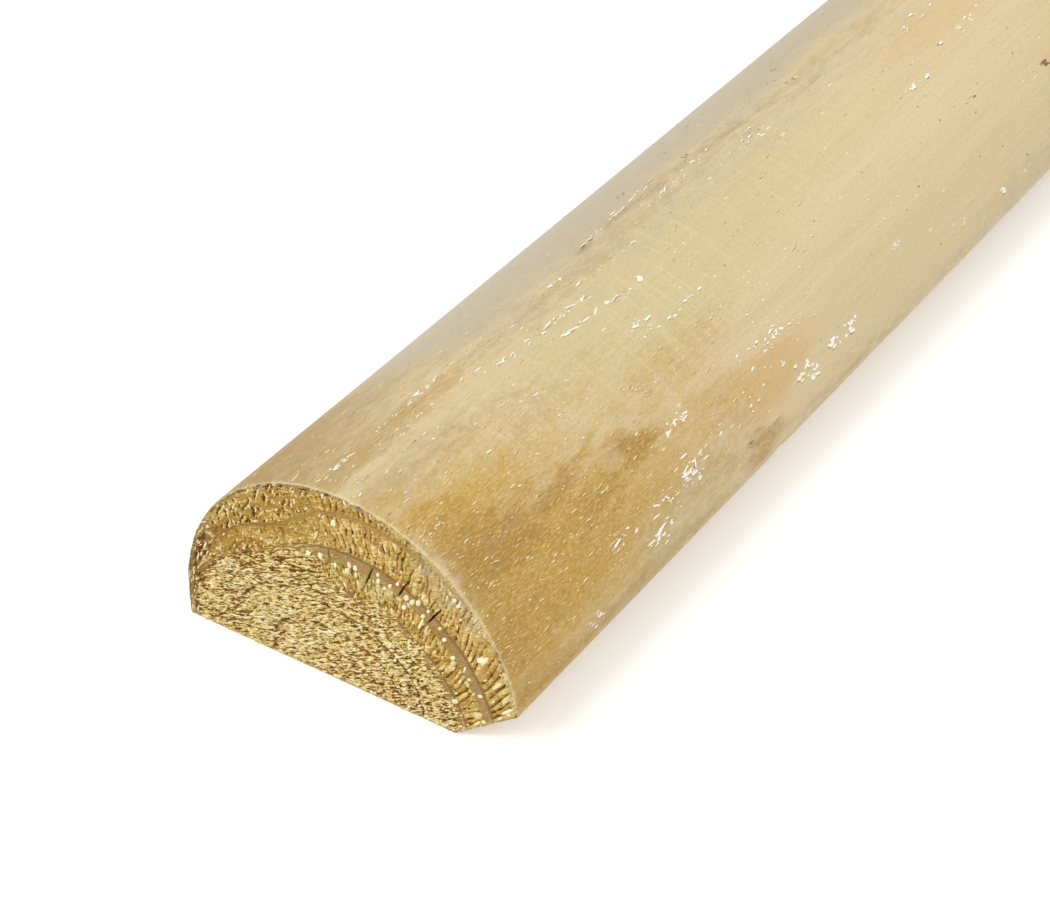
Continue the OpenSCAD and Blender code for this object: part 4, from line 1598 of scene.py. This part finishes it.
for start, end, turn0, turn1, count, length in SALT_LINES:
    for _ in range(count):
        t = rng.uniform(0, 1)
        half_long = 0.5 * length * (0.3 + 2.6 * rng.uniform(0, 1) ** 2)
        turn = turn0 + (turn1 - turn0) * t + rng.normal(0, 0.6)
        spot_places["salt"].append((start + (end - start) * t, turn, half_long, rng.uniform(0.11, 0.28)))
print({name: len(found) for name, found in spot_places.items()})


# %% Helpers that lay grains on the round face
# Grains keep this far from the ends, in millimetres, and between these degrees round the pole
BARE_END, RIGHT_FOOT, LEFT_FOOT = 1.5, 9, 184


def lay(name, found, material, facets, roughen, seed):
    """Lays one grain on each place that is found: points, lies, outward directions, sizes in mm."""
    at, lie, outward, size = (np.array(part, float) for part in found)
    mesh = bpy.data.meshes.new(name + "_places")
    mesh.from_pydata((at + (centre_x, NEAR_Y, 0)) * MM, [], [])
    for label, values in (("lie", lie), ("outward", outward), ("size", size * MM)):
        write_attribute(mesh, label, values)
    return run_tree(LAY, name, mesh, Facets=facets, Roughen=roughen, Seed=seed,
                    Material=materials[material])


def on_round_face(found, sunk, thin, stray):
    """Points on the sculpted round face. Each grain stands proud by a part of its thickness."""
    found = np.array([spot for spot in found if BARE_END < spot[0] < LENGTH - BARE_END
                      and RIGHT_FOOT < spot[1] < LEFT_FOOT])
    place, degrees, half_long, half_wide = found.T
    relief, _ = round_relief(place, degrees)
    turn = np.radians(degrees)
    outward = np.column_stack([np.cos(turn), 0 * turn, np.sin(turn)])
    thickness = 0.04 + np.minimum(half_wide, 0.45) * thin
    r = POLE_R + relief - thickness * sunk
    at = np.column_stack([r * np.cos(turn), place, CENTRE_RISE + r * np.sin(turn)])
    wander = stray * np.random.default_rng(9).normal(size=(len(turn), 3))
    wander = wander - 0.85 * outward * (wander * outward).sum(1)[:, None]
    return at, wander + (0, 1, 0), outward, np.column_stack([half_long, half_wide, thickness])


print("grains lie between", RIGHT_FOOT, "and", LEFT_FOOT, "degrees")

# %% Lay flecks, specks, slivers and painted shadow edges on the round face
FLAKES = 7
SLIVER_TRIES = 5200


def broken_up(found):
    """A lump is a few flat flakes that overlap, so its outline is ragged."""
    drawn = np.random.default_rng(57)
    flakes = []
    for at, turn, half_long, half_wide in found:
        for _ in range(FLAKES):
            aside = math.degrees(drawn.uniform(-0.9, 0.9) * half_wide / POLE_R)
            flakes.append((at + drawn.uniform(-0.7, 0.7) * half_long, turn + aside,
                           half_wide * drawn.uniform(0.45, 0.95), half_wide * drawn.uniform(0.35, 0.65)))
    return flakes


def shadow_edges(found):
    """A painted shadow: a thin brown edge along the lower side of each fleck near the end."""
    return [(at - 0.1, turn - math.degrees(1.15 * half_wide / POLE_R), 1.05 * half_long, 0.5 * half_wide)
            for at, turn, half_long, half_wide in found if at < SEEN_LENGTH + 60]


def sliver_places():
    """Fine raised slivers, thick where the wood is rough and thin under the film."""
    drawn = np.random.default_rng(31)
    near = drawn.uniform(2, SEEN_LENGTH + 20, SLIVER_TRIES)
    at = np.concatenate([near, drawn.uniform(SEEN_LENGTH, LENGTH - 2, SLIVER_TRIES)])
    turn = drawn.uniform(9, 176, len(at))
    rough = stain_mask("gold", at, turn) + 0.6 * stain_mask("brown", at, turn)
    chance = 0.06 + 0.7 * rough + 0.5 * near_line(turn - 98, 10) * step_up(260, 120, at)
    chance = (chance + 0.16 * stain_mask("green", at, turn)) * (1 - 0.8 * stain_mask("film", at, turn))
    kept = drawn.uniform(0, 1, len(at)) < chance
    half_long = 0.35 + 1.5 * drawn.uniform(0, 1, len(at)) ** 3
    half_wide = drawn.uniform(0.11, 0.22, len(at))
    return np.column_stack([at, turn, half_long, half_wide])[kept].tolist()


salt_spots, dark_spots, sliver_spots = spot_places["salt"], spot_places["dark_speck"], sliver_places()
# Painted shadows: a thin brown edge beside each fleck and sliver
shadow_edge_spots = shadow_edges(salt_spots) + shadow_edges(sliver_spots)
# How deep a grain sinks and how thick it is, in shares of its own size, and how far it strays
dressing = [
    fibres,
    lay("salt_flecks", on_round_face(salt_spots + broken_up(lumps), sunk=-0.5, thin=0.2, stray=0.22),
        "salt", facets=2, roughen=0.0002, seed=3),
    lay("cream_slivers", on_round_face(sliver_spots, sunk=-0.3, thin=0.4, stray=0.1),
        "cream_sliver", facets=1, roughen=0.0001, seed=8),
    # Thin brown painted shadows beside the flecks and slivers
    lay("pit_edges", on_round_face(shadow_edge_spots, sunk=0.5, thin=0.15, stray=0.12),
        "dark_speck", facets=1, roughen=0.0001, seed=12),
    lay("dark_specks", on_round_face(dark_spots, sunk=0.5, thin=0.25, stray=0.12),
        "dark_speck", facets=2, roughen=0.0006, seed=4)]
print("laid:", [piece.name for piece in dressing])

# %% [markdown]
# On the near end lie a few long splinters, pale where they catch the light, and round beads of resin along
# the broad ring, where the saw opened its canals. Each one is set where the photograph has it, and the
# end's own relief gives its depth.

# %% Lay splinters and resin beads on the near end
# Long pale splinters: mm across, mm up, half length, half width, direction in degrees
END_SLIVERS = [(-6, 14, 3.6, 0.28, 24), (-2, 50, 1.3, 0.3, 60), (-7.5, 43.5, 1.9, 0.34, 68),
               (-10, 37, 1.2, 0.35, 40), (-6, 38, 1.0, 0.32, 60), (-27, 9, 2.2, 0.24, 26),
               (-33, 17, 2.0, 0.26, 30), (-36, 12, 1.8, 0.24, 24), (-18, 27, 2.2, 0.22, 30),
               (-9, 22, 2.0, 0.2, 22), (4, 12, 2.0, 0.22, 30), (12, 19, 1.4, 0.26, 40),
               (23, 11.5, 1.5, 0.32, 38), (18.6, 16.6, 1.1, 0.36, 20), (34.5, 13.5, 2.2, 0.5, 52),
               (38, 6, 1.8, 0.4, 50), (40.5, 27, 2.0, 0.55, 58), (22.5, 30, 2.3, 0.4, 66),
               (24, 29, 1.8, 0.3, 64), (44, 21, 2.2, 0.4, 50), (46.5, 14, 2.4, 0.45, 46),
               (-45.5, 20, 1.6, 0.22, 72), (-47.8, 14, 1.4, 0.2, 80), (-43, 24.5, 1.7, 0.24, 66),
               (-30, 30, 1.2, 0.26, 62), (-38, 26, 1.0, 0.24, 60), (-14, 5, 2.2, 0.3, 48),
               (-11, 8, 1.8, 0.28, 40)]
# Angle about the pith, millimetres from the pith, radius in millimetres
BEADS = [(108.6, 39.1, 0.5), (103.1, 38.9, 0.6), (90.4, 38.9, 0.55), (87.8, 38.8, 0.5),
         (91.5, 36.5, 0.55), (78.4, 40.6, 0.4), (77.8, 38.8, 0.5), (73, 39.6, 0.45), (70.8, 41.9, 0.35),
         (66, 39.9, 0.6), (63.5, 40.2, 0.6), (61.7, 41.5, 0.6), (65.2, 36.2, 0.5), (57.7, 39.1, 0.5),
         (57.5, 41.7, 0.35), (50.8, 40.7, 0.4), (46.8, 39.3, 0.5), (39.5, 37.9, 0.5), (36, 45.6, 0.7),
         (19.6, 31.4, 0.6), (23.2, 40.1, 0.45), (60.5, 21.7, 0.6), (54.5, 51.4, 0.5), (52.7, 50.9, 0.45),
         (95.1, 49.9, 0.55), (88, 36.5, 0.4), (75, 37.4, 0.35), (30, 39, 0.4), (12, 38.6, 0.4),
         (97, 37.2, 0.4)]


def on_near_end(x, z, direction, lift, proud, size):
    """Points that stand proud of the torn near end, with their lies at this angle over it."""
    depth, _ = end_relief(x, z, NEAR_SEED)
    lie = np.column_stack([np.cos(direction), 0 * direction - lift, np.sin(direction)])
    facing = np.tile((0.0, -1.0, 0.0), (len(direction), 1))
    return np.column_stack([x, depth - proud, z]), lie, facing, np.column_stack(size)


x, z, half_long, half_wide, direction = np.array(END_SLIVERS).T
splinters = on_near_end(x, z, np.radians(direction), lift=0.06, proud=0.1,
                        size=(half_long, half_wide, half_wide * 0.7))
dressing.append(lay("end_splinters", splinters, "cream_sliver", facets=3, roughen=0.0003, seed=14))
turn, reach, radius = np.array(BEADS).T
turn = np.radians(turn)
beads = on_near_end(PITH_X + reach * np.cos(turn), reach * np.sin(turn), turn, lift=0.0,
                    proud=0.15 * radius, size=(radius * 1.7, radius * 1.15, radius * 0.8))
dressing.append(lay("resin_beads", beads, "resin", facets=3, roughen=0.0004, seed=6))
for piece in dressing:
    for name in [layer.name for layer in piece.data.attributes]:
        if name in masks or name in ("fuzz", "size", "lie", "outward"):
            piece.data.attributes.remove(piece.data.attributes[name])
    print(piece.name, "has", len(piece.data.polygons), "faces")

# %% Finish
for piece in (post, *dressing):
    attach(piece, "root")
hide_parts(NODE)
